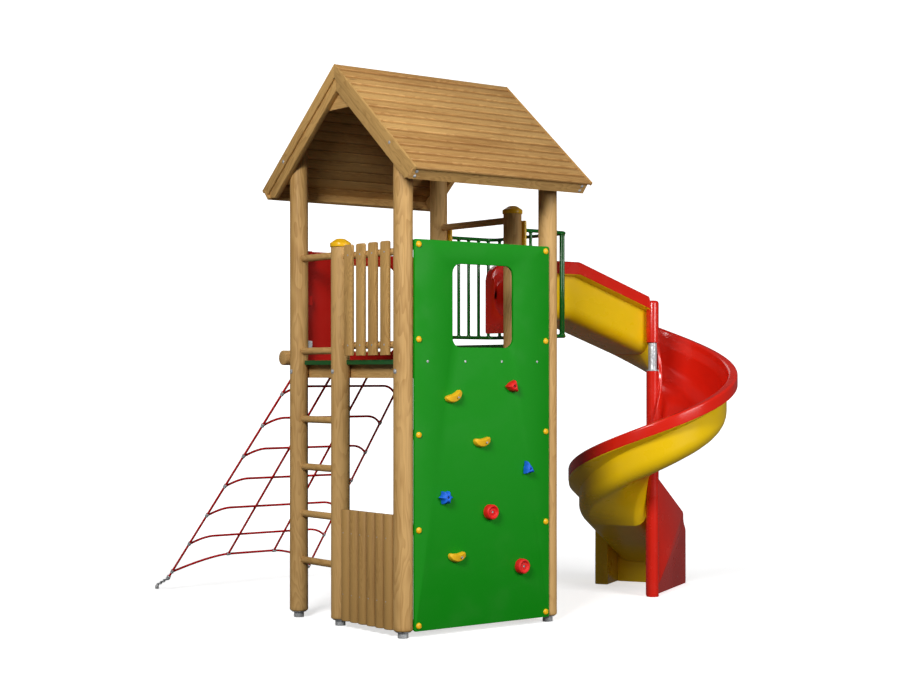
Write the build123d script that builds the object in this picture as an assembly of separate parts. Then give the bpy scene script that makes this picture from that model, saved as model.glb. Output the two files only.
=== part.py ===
"""Timber play tower with a gable roof, a climbing wall, a rope net and a spiral slide.

Millimetres. The origin is on the ground under the front corner post (post B).
+X runs along the climbing wall, +Y along the ladder side and +Z is up.
"""
from build123d import *
from math import ceil, cos, radians, sin, sqrt, tan
import os

# Posts and plan
side = 1140.0
post_d = 120.0
post_chamfer = 8.0
shoe_h = 42.0
shoe_d = 64.0
shoe_plate = 92.0
shoe_plate_t = 6.0
post_e_y = 663.0
post_f_y = 348.0
post_e_top = 2386.0
post_f_top = 2635.0
cap_h = 36.0
cap_ring_h = 20.0
cap_lip = 5.0

# Roof
headroom = 1117.0
roof_pitch = 40.3
slope_len = 1105.0
board_pitch = 81.8
board_t = 22.0
board_lap = 11.0
barge_t = 20.0
barge_depth = 64.0
rafter_t = 37.0
rafter_depth = 124.0
fascia_t = 20.0
fascia_depth = 92.0
fascia_inset = 10.0
gable_out = 117.0
far_overhang = 23.0
gusset_t = 18.0
gusset_drop = 270.0

# Deck
deck_z = 1660.0
deck_t = 28.0
deck_edge = 5.0
joist_h = 84.0
joist_t = 45.0

# Rods, slats and the low palisade
rod_d = 45.0
rung_z = [374.0, 674.0, 976.0, 1282.0, 1720.0, 2318.0]
slat_w = 85.0
slat_gap = 43.0
slat_t = 20.0
slat_count = 4
slat_z0 = 1686.0
slat_z1 = 2373.0
slat_rail_z = [1749.0, 2307.0]
slat_y0 = 93.5
slat_corner = 14.0
stake_w = 88.0
stake_pitch = 90.3
stake_t = 34.0
stake_count = 6
stake_y0 = 56.5
stake_z0 = 43.0
stake_z1 = 733.0
stake_rail_z = [210.0, 590.0]
slide_bar_z = 2577.0

# Wall panels
panel_t = 18.0
panel_back = 45.0
panel_x0 = 40.0
panel_x1 = 1098.0
panel_z0 = 40.0
panel_z1 = 2378.0
panel_corner = 12.0
window_x0 = 320.0
window_x1 = 783.0
window_z0 = 1735.0
window_z1 = 2241.0
window_corner = 60.0
portal_z0 = 1600.0
portal_z1 = 2373.0
portal_x0 = 330.0
portal_x1 = 810.0
portal_hole_z0 = 1718.0
portal_hole_z1 = 2295.0
bolt_inset = 29.0
wall_bolt_z = [73.0, 642.0, 1210.0, 1780.0, 2347.0]
portal_bolt_z = [1758.0, 2050.0, 2342.0]
bolt_cap_d = 38.0
bolt_cap_h = 11.0
bracket_w = 36.0
bracket_h = 60.0
bracket_reach = 10.0

# Climbing holds: place on the wall as X and Z
yellow_holds = [(327.0, 1436.0, 25.0), (546.0, 1159.0, 10.0), (352.0, 469.0, -10.0)]
red_lobe = (781.0, 1496.0)
red_discs = [(612.0, 726.0), (863.0, 376.0)]
blue_fin = (910.0, 981.0)
blue_star = (261.0, 830.0)
disc_d = 91.0
disc_h = 42.0
hold_h = 46.0
hold_bore_d = 16.0
hold_bore_depth = 20.0
hold_taper = 0.62
lobe_share = 0.86

# Climbing net
log_d = 96.0
log_y = 1245.0
log_z = 1678.0
log_out = 60.0
rope_d = 16.0
net_half_top = 444.0
net_spread = 22.1
net_top_y = 1296.0
net_top_z = 1656.0
net_step_y = 212.0
net_step_z = 215.7
net_rows = 7
net_foot = 7.25
rope_sides = 8
clamp_d = 30.0
clamp_len = 34.0
chain_y = 2993.0
chain_wire = 7.0
chain_link = 40.0
chain_w = 24.0
chain_out = 38.0
chain_foot_z = 26.0
anchor_d = 26.0

# Guard cage of green tube
tube_d = 24.0
guard_x1 = 1620.0
guard_y0 = 348.0
guard_y1 = 1136.0
guard_top_z = 2516.0
guard_low_z = 1826.0
guard_corner = 57.0
near_bars = [1296.0, 1385.0, 1473.0, 1563.0]
far_bars = [1229.0, 1313.0, 1401.0, 1490.0, 1578.0]
outer_bars = [392.0, 1062.0]
guard_plate_t = 22.0
guard_plate_z = 1769.0
end_board_t = 15.0
end_board_w = 110.0
end_board_z0 = 1700.0
end_board_z1 = 2575.0

# Slide
column_x = 2517.0
column_y = 452.0
column_d = 60.0
sleeve_d = 88.0
column_top = 2086.0
upper_sleeve_z0 = 1794.0
upper_sleeve_z1 = 2091.0
lower_sleeve_z1 = 1593.0
collar_d = 88.0
collar_t = 8.0
wall_r = 518.0
rim_out = 76.0
rim_band = 85.0
rim_in = 531.0
inner_flare_z0 = 60.0
inner_flare_z1 = 110.0
flare_least = 115.0
flare_most = 180.0
flare_from = 230.0
flare_to = 310.0
flare_lip = 0.38
trough_round = 95.0
outer_round = 150.0
skin = 22.0
rim_start_z = 2105.0
fall_per_degree = 3.83
turn = 331.6
entry_x0 = 1480.0
entry_flat_x = 1817.0
entry_rim_z = 2335.0
entry_floor_z = 1942.0
base_start_z = 1545.0
base_fall = 2.407
base_bend = 0.0023
base_lift = 167.0
base_settled = 130.0
rim_edge = 12.0
spiral_sections = 14
exit_run = 852.0
exit_lip = 790.0
exit_base_z = 143.0
exit_nose_z = 408.0
exit_nose = 62.0
exit_wall_rise = 40.0
exit_step = 1.5
exit_leg_run = 519.0
entry_lip = 62.0
entry_corner = 100.0
flange_z0 = 1853.0
foot_w = 340.0
exit_rim_z = 539.0

tan_pitch = tan(radians(roof_pitch))
ridge_y = side / 2
ridge_z = portal_z1 + headroom
gusset_z = ridge_z - gusset_drop
rim_r = wall_r + rim_out
post_r = post_d / 2
rod_r = rod_d / 2
tube_r = tube_d / 2
seat = 0.3

os.makedirs("parts", exist_ok=True)
nodes = {}


def keep(name, *solids):
    """Join the given solids into one node."""
    flat = []
    for item in solids:
        flat += list(item.solids())
    nodes[name] = flat[0] if len(flat) == 1 else Compound(children=flat)


def block(x0, x1, y0, y1, z0, z1):
    """A box between two corners."""
    return Pos((x0 + x1) / 2, (y0 + y1) / 2, (z0 + z1) / 2) * Box(x1 - x0, y1 - y0, z1 - z0)


def rod(start, end, diameter):
    """A round bar from one point to another."""
    line = Vector(*end) - Vector(*start)
    plane = Plane(origin=start, z_dir=line)
    return extrude(plane * Circle(diameter / 2), line.length)


def post_space(x, y, gap=0.0, top=4000.0):
    """The space that a post fills, for seating other pieces on it."""
    return Pos(x, y, top / 2) * Cylinder(post_r + gap, top)


def slope_point(s, n, sign):
    """A point of the roof's section: s down the slope from the ridge, n below the boards."""
    a = radians(roof_pitch)
    run = s * cos(a) - n * sin(a)
    return ridge_y + sign * run, ridge_z - s * sin(a) - n * cos(a)


def slope_prism(points, sign, x0, x1):
    """A prism along X over an outline given as (s, n) on one slope."""
    outline = [slope_point(s, n, sign) for s, n in points]
    wire = Polyline([(x0, y, z) for y, z in outline], close=True)
    return extrude(make_face(wire), amount=x1 - x0, dir=(1, 0, 0))


def ridge_s(n):
    """Where the ridge's mitre plane meets a line n below the boards."""
    return n * tan_pitch


def make_posts():
    """Six round posts with chamfered feet, on galvanised shoes."""
    places = {"a": (0.0, side), "b": (0.0, 0.0), "c": (side, 0.0), "d": (side, side),
              "e": (0.0, post_e_y), "f": (side, post_f_y)}
    tops = {"e": post_e_top, "f": post_f_top}
    shoes = []
    for name, (x, y) in places.items():
        top = tops.get(name, ridge_z)
        post = Pos(x, y, (shoe_h + top) / 2) * Cylinder(post_r, top - shoe_h)
        post = chamfer(post.edges().sort_by(Axis.Z)[0], post_chamfer)
        if name not in tops:
            post = post - above_boards(1 if y > ridge_y else -1)
        keep("post_" + name, post)
        stub_h = shoe_h - shoe_plate_t
        stub = Pos(x, y, stub_h / 2) * Cylinder(shoe_d / 2, stub_h)
        plate = Pos(x, y, shoe_h - shoe_plate_t / 2) * Cylinder(shoe_plate / 2, shoe_plate_t)
        shoes.append(stub + plate)
    keep("post_shoes", *shoes)
    for name in tops:
        x, y = places[name]
        keep("cap_" + name, post_cap(x, y, tops[name]))


def above_boards(sign):
    """Everything above the underside of the boards on one slope."""
    big = 2 * slope_len
    outline = [(ridge_s(board_t), board_t), (big, board_t), (big, -big), (-big, -big)]
    return slope_prism(outline, sign, -big, big)


def post_cap(x, y, z):
    """A faceted dome cap: a ring round the post's head under an eight-sided dome."""
    ring = Pos(x, y, z - cap_ring_h / 2 + 2) * Cylinder(post_r + cap_lip, cap_ring_h)
    ring = ring - Pos(x, y, z - cap_ring_h) * Cylinder(post_r + 0.05, 2 * cap_ring_h)
    dome_h = cap_h - 2
    base = Plane(origin=(x, y, z)) * RegularPolygon(post_r + cap_lip, 8)
    middle = Plane(origin=(x, y, z + 0.62 * dome_h)) * RegularPolygon(0.66 * post_r, 8)
    head = Plane(origin=(x, y, z + dome_h)) * RegularPolygon(0.2 * post_r, 8)
    dome = loft([base, middle, head], ruled=True)
    ring_top = Pos(x, y, z + 1) * Cylinder(post_r + cap_lip, 2)
    return dome + ring_top + ring


def make_roof():
    """Two slopes of lapped boards on rafters, with barge boards, gussets and fascias."""
    x0, x1 = -gable_out, side + gable_out
    rows = ceil(slope_len / board_pitch)
    for side_name, sign in (("front", -1), ("back", 1)):
        top = [(0.0, 0.0)]
        for row in range(rows):
            lower = slope_len - (rows - 1 - row) * board_pitch
            top.append((lower, 0.0))
            if row < rows - 1:
                top.append((lower, board_lap))
        top.append((slope_len, board_t))
        top.append((ridge_s(board_t), board_t))
        keep("roof_boards_" + side_name, slope_prism(top, sign, x0 + barge_t, x1 + far_overhang))
        end_s = slope_len - fascia_inset
        barge_end = end_s - fascia_t
        far = [(ridge_s(board_t), board_t), (barge_end, board_t),
               (barge_end, barge_depth), (ridge_s(barge_depth), barge_depth)]
        near = [(0.0, 0.0), (slope_len, 0.0), (slope_len, board_t), (barge_end, board_t),
                (barge_end, barge_depth), (ridge_s(barge_depth), barge_depth)]
        keep("barge_near_" + side_name, slope_prism(near, sign, x0, x0 + barge_t))
        keep("barge_far_" + side_name, slope_prism(far, sign, x1 - barge_t, x1))
        rafter = [(ridge_s(board_t), board_t), (barge_end, board_t), (barge_end, rafter_depth - 32),
                  (barge_end - 32, rafter_depth), (ridge_s(rafter_depth), rafter_depth)]
        keep("rafter_near_" + side_name, slope_prism(rafter, sign, x0 + barge_t, x0 + barge_t + rafter_t))
        keep("rafter_far_" + side_name, slope_prism(rafter, sign, x1 - barge_t - rafter_t, x1 - barge_t))
        board = [(barge_end, board_t), (end_s, board_t), (end_s, fascia_depth), (barge_end, fascia_depth)]
        keep("fascia_" + side_name, slope_prism(board, sign, x0, x1))
    gussets = []
    inside = x0 + barge_t + rafter_t
    drop = ridge_z - board_t / cos(radians(roof_pitch)) - gusset_z
    half = drop / tan_pitch
    for gx in (inside, x1 - barge_t - rafter_t - gusset_t):
        wire = Polyline([(gx, ridge_y - half, gusset_z), (gx, ridge_y + half, gusset_z),
                         (gx, ridge_y, gusset_z + drop)], close=True)
        gussets.append(extrude(make_face(wire), amount=gusset_t, dir=(1, 0, 0)))
    keep("roof_gussets", *gussets)


def make_deck():
    """The deck plate, notched round the posts, on a frame of joists."""
    back = side + panel_back
    plate = block(deck_edge, side - deck_edge, -panel_back, back, deck_z - deck_t, deck_z)
    for x, y in ((0, 0), (side, 0), (0, side), (side, side), (0, post_e_y), (side, post_f_y)):
        plate = plate - post_space(x, y, seat)
    keep("deck_plate", plate)
    z1 = deck_z - deck_t
    z0 = z1 - joist_h
    joists = [block(post_r, post_r + joist_t, -panel_back, back, z0, z1),
              block((side - joist_t) / 2, (side + joist_t) / 2, -panel_back, back, z0, z1),
              block(side - post_r - joist_t, side - post_r, -panel_back, back, z0, z1)]
    keep("deck_joists", *joists)


def make_ladder_side():
    """Rungs between posts A and E, the slat barrier and the low palisade between E and B."""
    rungs = []
    for z in rung_z:
        bar = rod((0, post_e_y, z), (0, side, z), rod_d)
        rungs.append(bar - post_space(0, post_e_y) - post_space(0, side))
    keep("ladder_rungs", *rungs)
    rails = []
    for z in slat_rail_z:
        rail = rod((0, 0, z), (0, post_e_y, z), rod_d)
        rails.append(rail - post_space(0, 0) - post_space(0, post_e_y))
    keep("slat_rails", *rails)
    slats = []
    for i in range(slat_count):
        y0 = slat_y0 + i * (slat_w + slat_gap)
        slat = block(-rod_r - slat_t, -rod_r, y0, y0 + slat_w, slat_z0, slat_z1)
        tops = slat.edges().filter_by(Axis.X).sort_by(Axis.Z)[-2:]
        slats.append(fillet(tops, slat_corner))
    keep("barrier_slats", *slats)
    low = []
    for z in stake_rail_z:
        rail = rod((0, 0, z), (0, post_e_y, z), rod_d)
        low.append(rail - post_space(0, 0) - post_space(0, post_e_y))
    keep("palisade_rails", *low)
    stakes = []
    for i in range(stake_count):
        y0 = stake_y0 + i * stake_pitch
        arc = ThreePointArc((-rod_r, y0, stake_z0), (-rod_r - stake_t, y0 + stake_w / 2, stake_z0),
                            (-rod_r, y0 + stake_w, stake_z0))
        flat = Line((-rod_r, y0 + stake_w, stake_z0), (-rod_r, y0, stake_z0))
        stakes.append(extrude(make_face([arc, flat]), amount=stake_z1 - stake_z0, dir=(0, 0, 1)))
    keep("palisade_stakes", *stakes)


def wall_panel(y0, z0, z1, hole):
    """An upright sheet with rounded corners and one rounded opening."""
    sheet = block(panel_x0, panel_x1, y0, y0 + panel_t, z0, z1)
    sheet = fillet(sheet.edges().filter_by(Axis.Y), panel_corner)
    hx0, hx1, hz0, hz1 = hole
    cut = block(hx0, hx1, y0 - panel_t, y0 + 2 * panel_t, hz0, hz1)
    cut = fillet(cut.edges().filter_by(Axis.Y), window_corner)
    return sheet - cut


def bolt_cap(x, y, z, outward):
    """A low domed cap over a panel bolt."""
    cap = Pos(x, y + outward * bolt_cap_h / 2, z) * Rot(90, 0, 0) * Cylinder(bolt_cap_d / 2, bolt_cap_h)
    ends = cap.edges().sort_by(Axis.Y)
    outer = ends[-1] if outward > 0 else ends[0]
    return fillet(outer, bolt_cap_h * 0.7)


def make_walls():
    """The climbing wall, the net side's portal, their bolts' caps and brackets."""
    front = -panel_back - panel_t
    window = (window_x0, window_x1, window_z0, window_z1)
    keep("climbing_wall", wall_panel(front, panel_z0, panel_z1, window))
    back = side + panel_back
    hole = (portal_x0, portal_x1, portal_hole_z0, portal_hole_z1)
    keep("portal_panel", wall_panel(back, portal_z0, portal_z1, hole))
    caps, brackets = [], []
    bolt_x = (panel_x0 + bolt_inset, panel_x1 - bolt_inset)
    for x, post_side in zip(bolt_x, (1, -1)):
        near = post_r if post_side > 0 else side - post_r
        far = near + post_side * bracket_w
        for z in wall_bolt_z:
            caps.append(bolt_cap(x, front, z, -1))
            brackets.append(block(min(near, far), max(near, far), -panel_back, bracket_reach,
                                  z - bracket_h / 2, z + bracket_h / 2))
        for z in portal_bolt_z:
            caps.append(bolt_cap(x, back + panel_t, z, 1))
            if z - bracket_h / 2 > deck_z:
                brackets.append(block(min(near, far), max(near, far), side - bracket_reach, back,
                                      z - bracket_h / 2, z + bracket_h / 2))
    keep("bolt_caps", *caps)
    keep("panel_brackets", *brackets)


def disc_hold(x, z):
    """A round hold: a dished disc with a bolt bore in its face."""
    face = -panel_back - panel_t
    body = Pos(x, face - disc_h / 2, z) * Rot(90, 0, 0) * Cylinder(disc_d / 2, disc_h)
    body = fillet(body.edges().sort_by(Axis.Y)[0], disc_h * 0.45)
    bore = Pos(x, face - disc_h, z) * Rot(90, 0, 0) * Cylinder(hold_bore_d / 2, 2 * hold_bore_depth)
    return body - bore


def lobed_hold(x, z, lobes, reach, lobe_r, height):
    """A hold made of rounded lobes about one bolt, each a cone that narrows off the wall."""
    face = -panel_back - panel_t
    upright = Pos(x, face - height / 2, z) * Rot(90, 0, 0)
    body = upright * Cone(reach, reach * hold_taper, height)
    for lobe_angle in lobes:
        a = radians(lobe_angle)
        lobe = Pos(x + reach * cos(a), face - height * lobe_share / 2, z + reach * sin(a)) * Rot(90, 0, 0)
        body = body + lobe * Cone(lobe_r, lobe_r * hold_taper, height * lobe_share)
    bore = Pos(x, face - height, z) * Rot(90, 0, 0)
    return body - bore * Cylinder(hold_bore_d / 2, 2 * hold_bore_depth)


def bean_hold(x, z, tilt):
    """A curved ledge hold, like a bean, thick in the middle."""
    face = -panel_back - panel_t
    plane = Plane(origin=(x, face, z), x_dir=(cos(radians(tilt)), 0, sin(radians(tilt))), z_dir=(0, -1, 0))
    outline = SlotArc(CenterArc((0, 62), 70, 222, 96), 48)
    top = SlotArc(CenterArc((0, 62), 70, 232, 76), 30)
    base = plane * outline
    upper = plane.offset(hold_h) * top
    return loft([base, upper])


def make_holds():
    """Eight moulded holds on the climbing wall."""
    keep("holds_yellow", *[bean_hold(x, z, tilt) for x, z, tilt in yellow_holds])
    red = [disc_hold(x, z) for x, z in red_discs]
    red.append(lobed_hold(*red_lobe, (90, 210, 330), 26.0, 24.0, hold_h))
    keep("holds_red", *red)
    star = lobed_hold(*blue_star, (18, 90, 162, 234, 306), 30.0, 17.0, hold_h)
    fin = lobed_hold(*blue_fin, (110, 290), 30.0, 22.0, hold_h)
    keep("holds_blue", star, fin)


def net_point(t, across):
    """A point of the net: t rows down from the beam, across from -1 to 1 over its width."""
    half = net_half_top + net_spread * t
    return (side / 2 + across * half, net_top_y + net_step_y * t, net_top_z - net_step_z * t)


def rope(start, end, diameter=rope_d):
    """A straight rope as a bar of few sides."""
    line = Vector(*end) - Vector(*start)
    plane = Plane(origin=start, z_dir=line, x_dir=(1, 0, 0) if abs(line.X) < 0.9 * line.length else (0, 1, 0))
    return extrude(plane * RegularPolygon(diameter / 2, rope_sides), line.length)


def make_net():
    """The log beam, the rope net below it, its clamps and its ground chains."""
    beam = rod((-log_out, log_y, log_z), (side + log_out, log_y, log_z), log_d)
    beam = beam - post_space(0, side, seat) - post_space(side, side, seat)
    beam = beam - block(panel_x0 - 1, panel_x1 + 1, side, side + panel_back + panel_t + seat, 0, ridge_z)
    keep("net_beam", beam)
    thirds = (-1.0, -1.0 / 3.0, 1.0 / 3.0, 1.0)
    ropes = None
    for across in thirds:
        down = rope(net_point(-0.1, across), net_point(net_foot, across))
        ropes = down if ropes is None else ropes + down
    for row in range(1, net_rows + 1):
        cross = rope(net_point(row, -1.0), net_point(row, 1.0))
        ropes = ropes + cross
    ropes = ropes - rod((-log_out, log_y, log_z), (side + log_out, log_y, log_z), log_d + seat)
    keep("net_ropes", ropes)
    chains = []
    for across in (-1.0, 1.0):
        end = Vector(*net_point(net_foot, across))
        foot = Vector(side / 2 + across * (side / 2 + chain_out), chain_y, chain_foot_z)
        line = foot - end
        count = max(3, round(line.length / (chain_link - 2 * chain_wire)))
        clamp = rope_clamp(net_point(net_foot - 1, across), end)
        links = []
        for i in range(count):
            at = end + line * ((i + 0.5) / count)
            links.append(chain_ring(at, line, 90.0 * (i % 2), line.length / count))
        chains.append(clamp + links[0] - rope(net_point(net_foot - 1, across), end, rope_d + 2 * seat))
        chains += links[1:-1]
        chains.append(anchor_stub(foot) + links[-1])
    keep("net_chains", *chains)


def rope_clamp(above, end):
    """The metal clamp over a rope's lower end."""
    up = (Vector(*above) - end).normalized()
    return rod(end + up * clamp_len * 0.8, end - up * clamp_len * 0.2, clamp_d)


def anchor_stub(foot):
    """The head of a ground anchor, which holds the chain's last link."""
    return Pos(foot.X, foot.Y, foot.Z / 2) * Cylinder(anchor_d / 2, foot.Z)


def chain_ring(at, line, roll, pitch):
    """One oval chain link round a point, along a line."""
    plane = Plane(origin=at, z_dir=line)
    plane = plane.rotated((0, 0, roll))
    long_r = (pitch + 2 * chain_wire) / 2
    path_plane = Plane(origin=at, x_dir=plane.z_dir, z_dir=plane.x_dir)
    outer = path_plane * SlotOverall(2 * long_r, chain_w)
    inner = path_plane * SlotOverall(2 * long_r - 2 * chain_wire, chain_w - 2 * chain_wire)
    return extrude(outer - inner, amount=chain_wire / 2, both=True)


def tube(points, corner):
    """A bent round tube along a path with rounded corners."""
    path = FilletPolyline(*points, radius=corner) if len(points) > 2 else Line(*points)
    start = Plane(origin=path @ 0, z_dir=path % 0)
    return sweep(start * Circle(tube_r), path=path)


def make_guard():
    """The green tube cage round the slide's entrance, its end boards and its step plate."""
    board_x = side + post_r
    boards = [block(board_x, board_x + end_board_t, y - end_board_w / 2, y + end_board_w / 2,
                    end_board_z0, end_board_z1) for y in (guard_y0, guard_y1)]
    keep("guard_end_boards", *boards)
    face = board_x + end_board_t
    top = [(face, guard_y0, guard_top_z), (guard_x1, guard_y0, guard_top_z),
           (guard_x1, guard_y1, guard_top_z), (face, guard_y1, guard_top_z)]
    low = [(x, y, guard_low_z) for x, y, z in top]
    cage = tube(top, guard_corner) + tube(low, guard_corner)
    uprights = [(x, guard_y0) for x in near_bars] + [(x, guard_y1) for x in far_bars]
    uprights += [(guard_x1, y) for y in outer_bars]
    for x, y in uprights:
        cage = cage + tube([(x, y, guard_low_z), (x, y, guard_top_z)], 0)
    keep("guard_cage", cage)
    plate = block(face, entry_x0 + skin, guard_y0 - tube_r, guard_y1 + tube_r,
                  guard_plate_z - guard_plate_t, guard_plate_z)
    keep("step_plate", plate)
    bar = rod((side, post_f_y, slide_bar_z), (side, side, slide_bar_z), rod_d)
    keep("entrance_bar", bar - post_space(side, post_f_y) - post_space(side, side))


def trough_section(place, rim_z, base_z, inner=None, lip=0.0, flare=flare_least):
    """A closed face of the trough's section: two walls, a floor and a folded-over rim.

    place turns a radius and a height into a point. inner is the inner wall's outer face,
    and lip is how far the rim's band stands proud of it. flare is how far below the rim
    the outer wall starts to lean out. Both bottom corners are round.
    """
    inner = sleeve_d / 2 + 2 * seat if inner is None else inner
    k = 1 - sqrt(0.5)
    r = trough_round
    wide = outer_round
    hollow = r - skin
    wide_hollow = wide - skin
    top_in = inner + skin
    far_in = wall_r - skin
    band_z = rim_z - rim_band
    shelf_z = band_z - 2 - flare_lip * (flare - flare_least)
    corners = [
        (inner, base_z + r), "arc", (inner + r, base_z), (wall_r - wide, base_z), "arc",
        (wall_r, base_z + wide), (wall_r, rim_z - flare), (rim_r, shelf_z), (rim_r, rim_z - rim_edge),
        (rim_r - rim_edge, rim_z), (rim_in, rim_z), (rim_in, rim_z - inner_flare_z0),
        (far_in, rim_z - inner_flare_z1), (far_in, base_z + wide), "hollow",
        (far_in - wide_hollow, base_z + skin), (top_in + hollow, base_z + skin), "hollow",
        (top_in, base_z + r), (top_in, rim_z)]
    if lip:
        corners += [(inner - lip, rim_z), (inner - lip, band_z), (inner, band_z)]
    else:
        corners += [(inner, rim_z)]
    middles = {
        (inner, base_z + r): (inner + r * k, base_z + r * k),
        (wall_r - wide, base_z): (wall_r - wide * k, base_z + wide * k),
        (far_in, base_z + wide): (far_in - wide_hollow * k, base_z + skin + wide_hollow * k),
        (top_in + hollow, base_z + skin): (top_in + hollow * k, base_z + skin + hollow * k)}
    edges = []
    points = [c for c in corners if not isinstance(c, str)]
    curved = [corners[i - 1] for i, c in enumerate(corners) if isinstance(c, str)]
    for start, stop in zip(points, points[1:] + points[:1]):
        if start in curved:
            edges.append(ThreePointArc(place(*start), place(*middles[start]), place(*stop)))
        else:
            edges.append(Line(place(*start), place(*stop)))
    return make_face(edges)


def rim_height(turned):
    """The outer rim's height after turning by some degrees from the entry."""
    return rim_start_z - fall_per_degree * turned


def base_height(turned):
    """The underside's height after turning by some degrees from the entry.

    It starts higher by base_lift, so that it follows the entry, and has settled by base_settled.
    """
    share = min(turned / base_settled, 1.0)
    lift = base_lift * (1 - share * share * (3 - 2 * share))
    return base_start_z + lift - base_fall * turned - base_bend * turned ** 2


def flare_height(turned):
    """How far below the rim the spiral's outer wall leans out: deeper towards the exit."""
    share = min(max((turned - flare_from) / (flare_to - flare_from), 0.0), 1.0)
    return flare_least + (flare_most - flare_least) * share * share * (3 - 2 * share)


def spiral_place(turned):
    """Maps a radius and a height to a point on the spiral's upright section plane."""
    a = radians(90.0 - turned)
    return lambda r, z: (column_x + r * cos(a), column_y + r * sin(a), z)


def exit_place(run):
    """Maps a radius and a height to a point on the exit's section plane at some run."""
    a = radians(90.0 - turn)
    forward = (sin(a), -cos(a))
    return lambda r, z: (column_x + r * cos(a) + run * forward[0],
                         column_y + r * sin(a) + run * forward[1], z)


def entry_place(x):
    """Maps a radius and a height to a point on the entry's section plane."""
    return lambda r, z: (x, column_y + r, z)


def make_slide():
    """The slide: column and sleeves, entry trough, spiral trough and exit trough."""
    tube_body = Pos(column_x, column_y, column_top / 2) * Cylinder(column_d / 2, column_top)
    collar = Pos(column_x, column_y, lower_sleeve_z1 + seat + collar_t / 2) * Cylinder(collar_d / 2, collar_t)
    keep("slide_column", tube_body + collar)
    bore = column_d / 2 + seat / 2
    sleeves = []
    for z0, z1 in ((0.0, lower_sleeve_z1), (upper_sleeve_z0, upper_sleeve_z1)):
        ring = Pos(column_x, column_y, (z0 + z1) / 2) * Cylinder(sleeve_d / 2, z1 - z0)
        ring = ring - Pos(column_x, column_y, (z0 + column_top + seat) / 2) * Cylinder(bore, column_top + seat - z0)
        sleeves.append(ring)
    keep("column_sleeves", *sleeves)

    sections = []
    for i in range(spiral_sections + 1):
        turned = turn * i / spiral_sections
        sections.append(trough_section(spiral_place(turned), rim_height(turned), base_height(turned),
                                       flare=flare_height(turned)))
    keep("slide_spiral", loft(sections))

    keep("slide_entry", *entry_body().solids())
    keep("slide_exit", *exit_body().solids())


def entry_body():
    """The entry trough: a flat start and a straight slope, with an end flange and a foot on the step plate."""
    inner = sleeve_d / 2 + 2 * seat
    near = column_y + inner
    start = trough_section(entry_place(entry_x0), entry_rim_z, entry_floor_z, lip=entry_lip)
    knee = trough_section(entry_place(entry_flat_x), entry_rim_z, entry_floor_z, lip=entry_lip)
    end = trough_section(entry_place(column_x), rim_height(0), base_height(0), lip=entry_lip)
    body = loft([start, knee], ruled=True) + loft([knee, end], ruled=True)
    flange = block(entry_x0, entry_x0 + skin, near - entry_lip, column_y + rim_r, flange_z0,
                   entry_rim_z - rim_band / 2)
    foot = block(entry_x0, entry_x0 + skin, near, near + foot_w, guard_plate_z, entry_floor_z + skin / 2)
    clear = block(entry_x0 - skin, entry_x0 + 2 * skin, near + skin, column_y + wall_r - skin,
                  entry_floor_z + skin, entry_rim_z + skin)
    floor_edges = clear.edges().filter_by(Axis.X).sort_by(Axis.Z)[:2].sort_by(Axis.Y)
    clear = fillet(floor_edges[0], trough_round - skin)
    floor_edges = clear.edges().filter_by(Axis.X).sort_by(Axis.Z)[:2].sort_by(Axis.Y)
    clear = fillet(floor_edges[-1], outer_round - skin)
    body = body + (flange + foot - clear)
    low_corner = entry_rim_z - entry_corner
    corner = block(entry_x0 - 1, entry_x0 + entry_corner, near - 2 * entry_lip, column_y + rim_r + skin,
                   low_corner, entry_rim_z + skin)
    turned_end = Pos(entry_x0 + entry_corner, column_y, low_corner) * Rot(90, 0, 0) * Cylinder(entry_corner, 4 * rim_r)
    body = body - (corner - turned_end)
    return body - Pos(column_x, column_y, ridge_z / 2) * Cylinder(sleeve_d / 2 + seat, ridge_z)


def exit_prism(outline, v0, v1):
    """A plate over an outline given as run and height, from v0 to v1 away from the column."""
    wire = Polyline([exit_place(run)(v0, z) for run, z in outline], close=True)
    away = Vector(*exit_place(0)(1, 0)) - Vector(*exit_place(0)(0, 0))
    return extrude(make_face(wire), amount=v1 - v0, dir=away)


def exit_body():
    """The exit trough between its two side walls, which stand on the ground with the lip's foot."""
    near = trough_section(exit_place(0), rim_height(turn), base_height(turn), flare=flare_most)
    far = trough_section(exit_place(exit_lip), exit_rim_z, exit_base_z, flare=flare_most)
    body = loft([near, far], ruled=True)
    inner = sleeve_d / 2 + 2 * seat
    fall = (rim_height(turn) - exit_rim_z) / exit_lip
    nose = [(exit_run, 0.0), (exit_run, exit_nose_z), (exit_run - exit_nose, exit_nose_z + exit_nose),
            (exit_lip, exit_rim_z - exit_step)]
    wall = [(0.0, 0.0)] + nose + [(0.0, rim_height(turn) + exit_wall_rise)]
    body = body + exit_prism(wall, 0.0, inner + skin - exit_step)
    leg = [(exit_leg_run, 0.0)] + nose + [(exit_leg_run, rim_height(turn) - fall * exit_leg_run - exit_step)]
    body = body + exit_prism(leg, wall_r - skin / 2, rim_r - exit_step)
    body = body + exit_lip_wall()
    return body - Pos(column_x, column_y, ridge_z / 2) * Cylinder(sleeve_d / 2 + seat, ridge_z)


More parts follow.
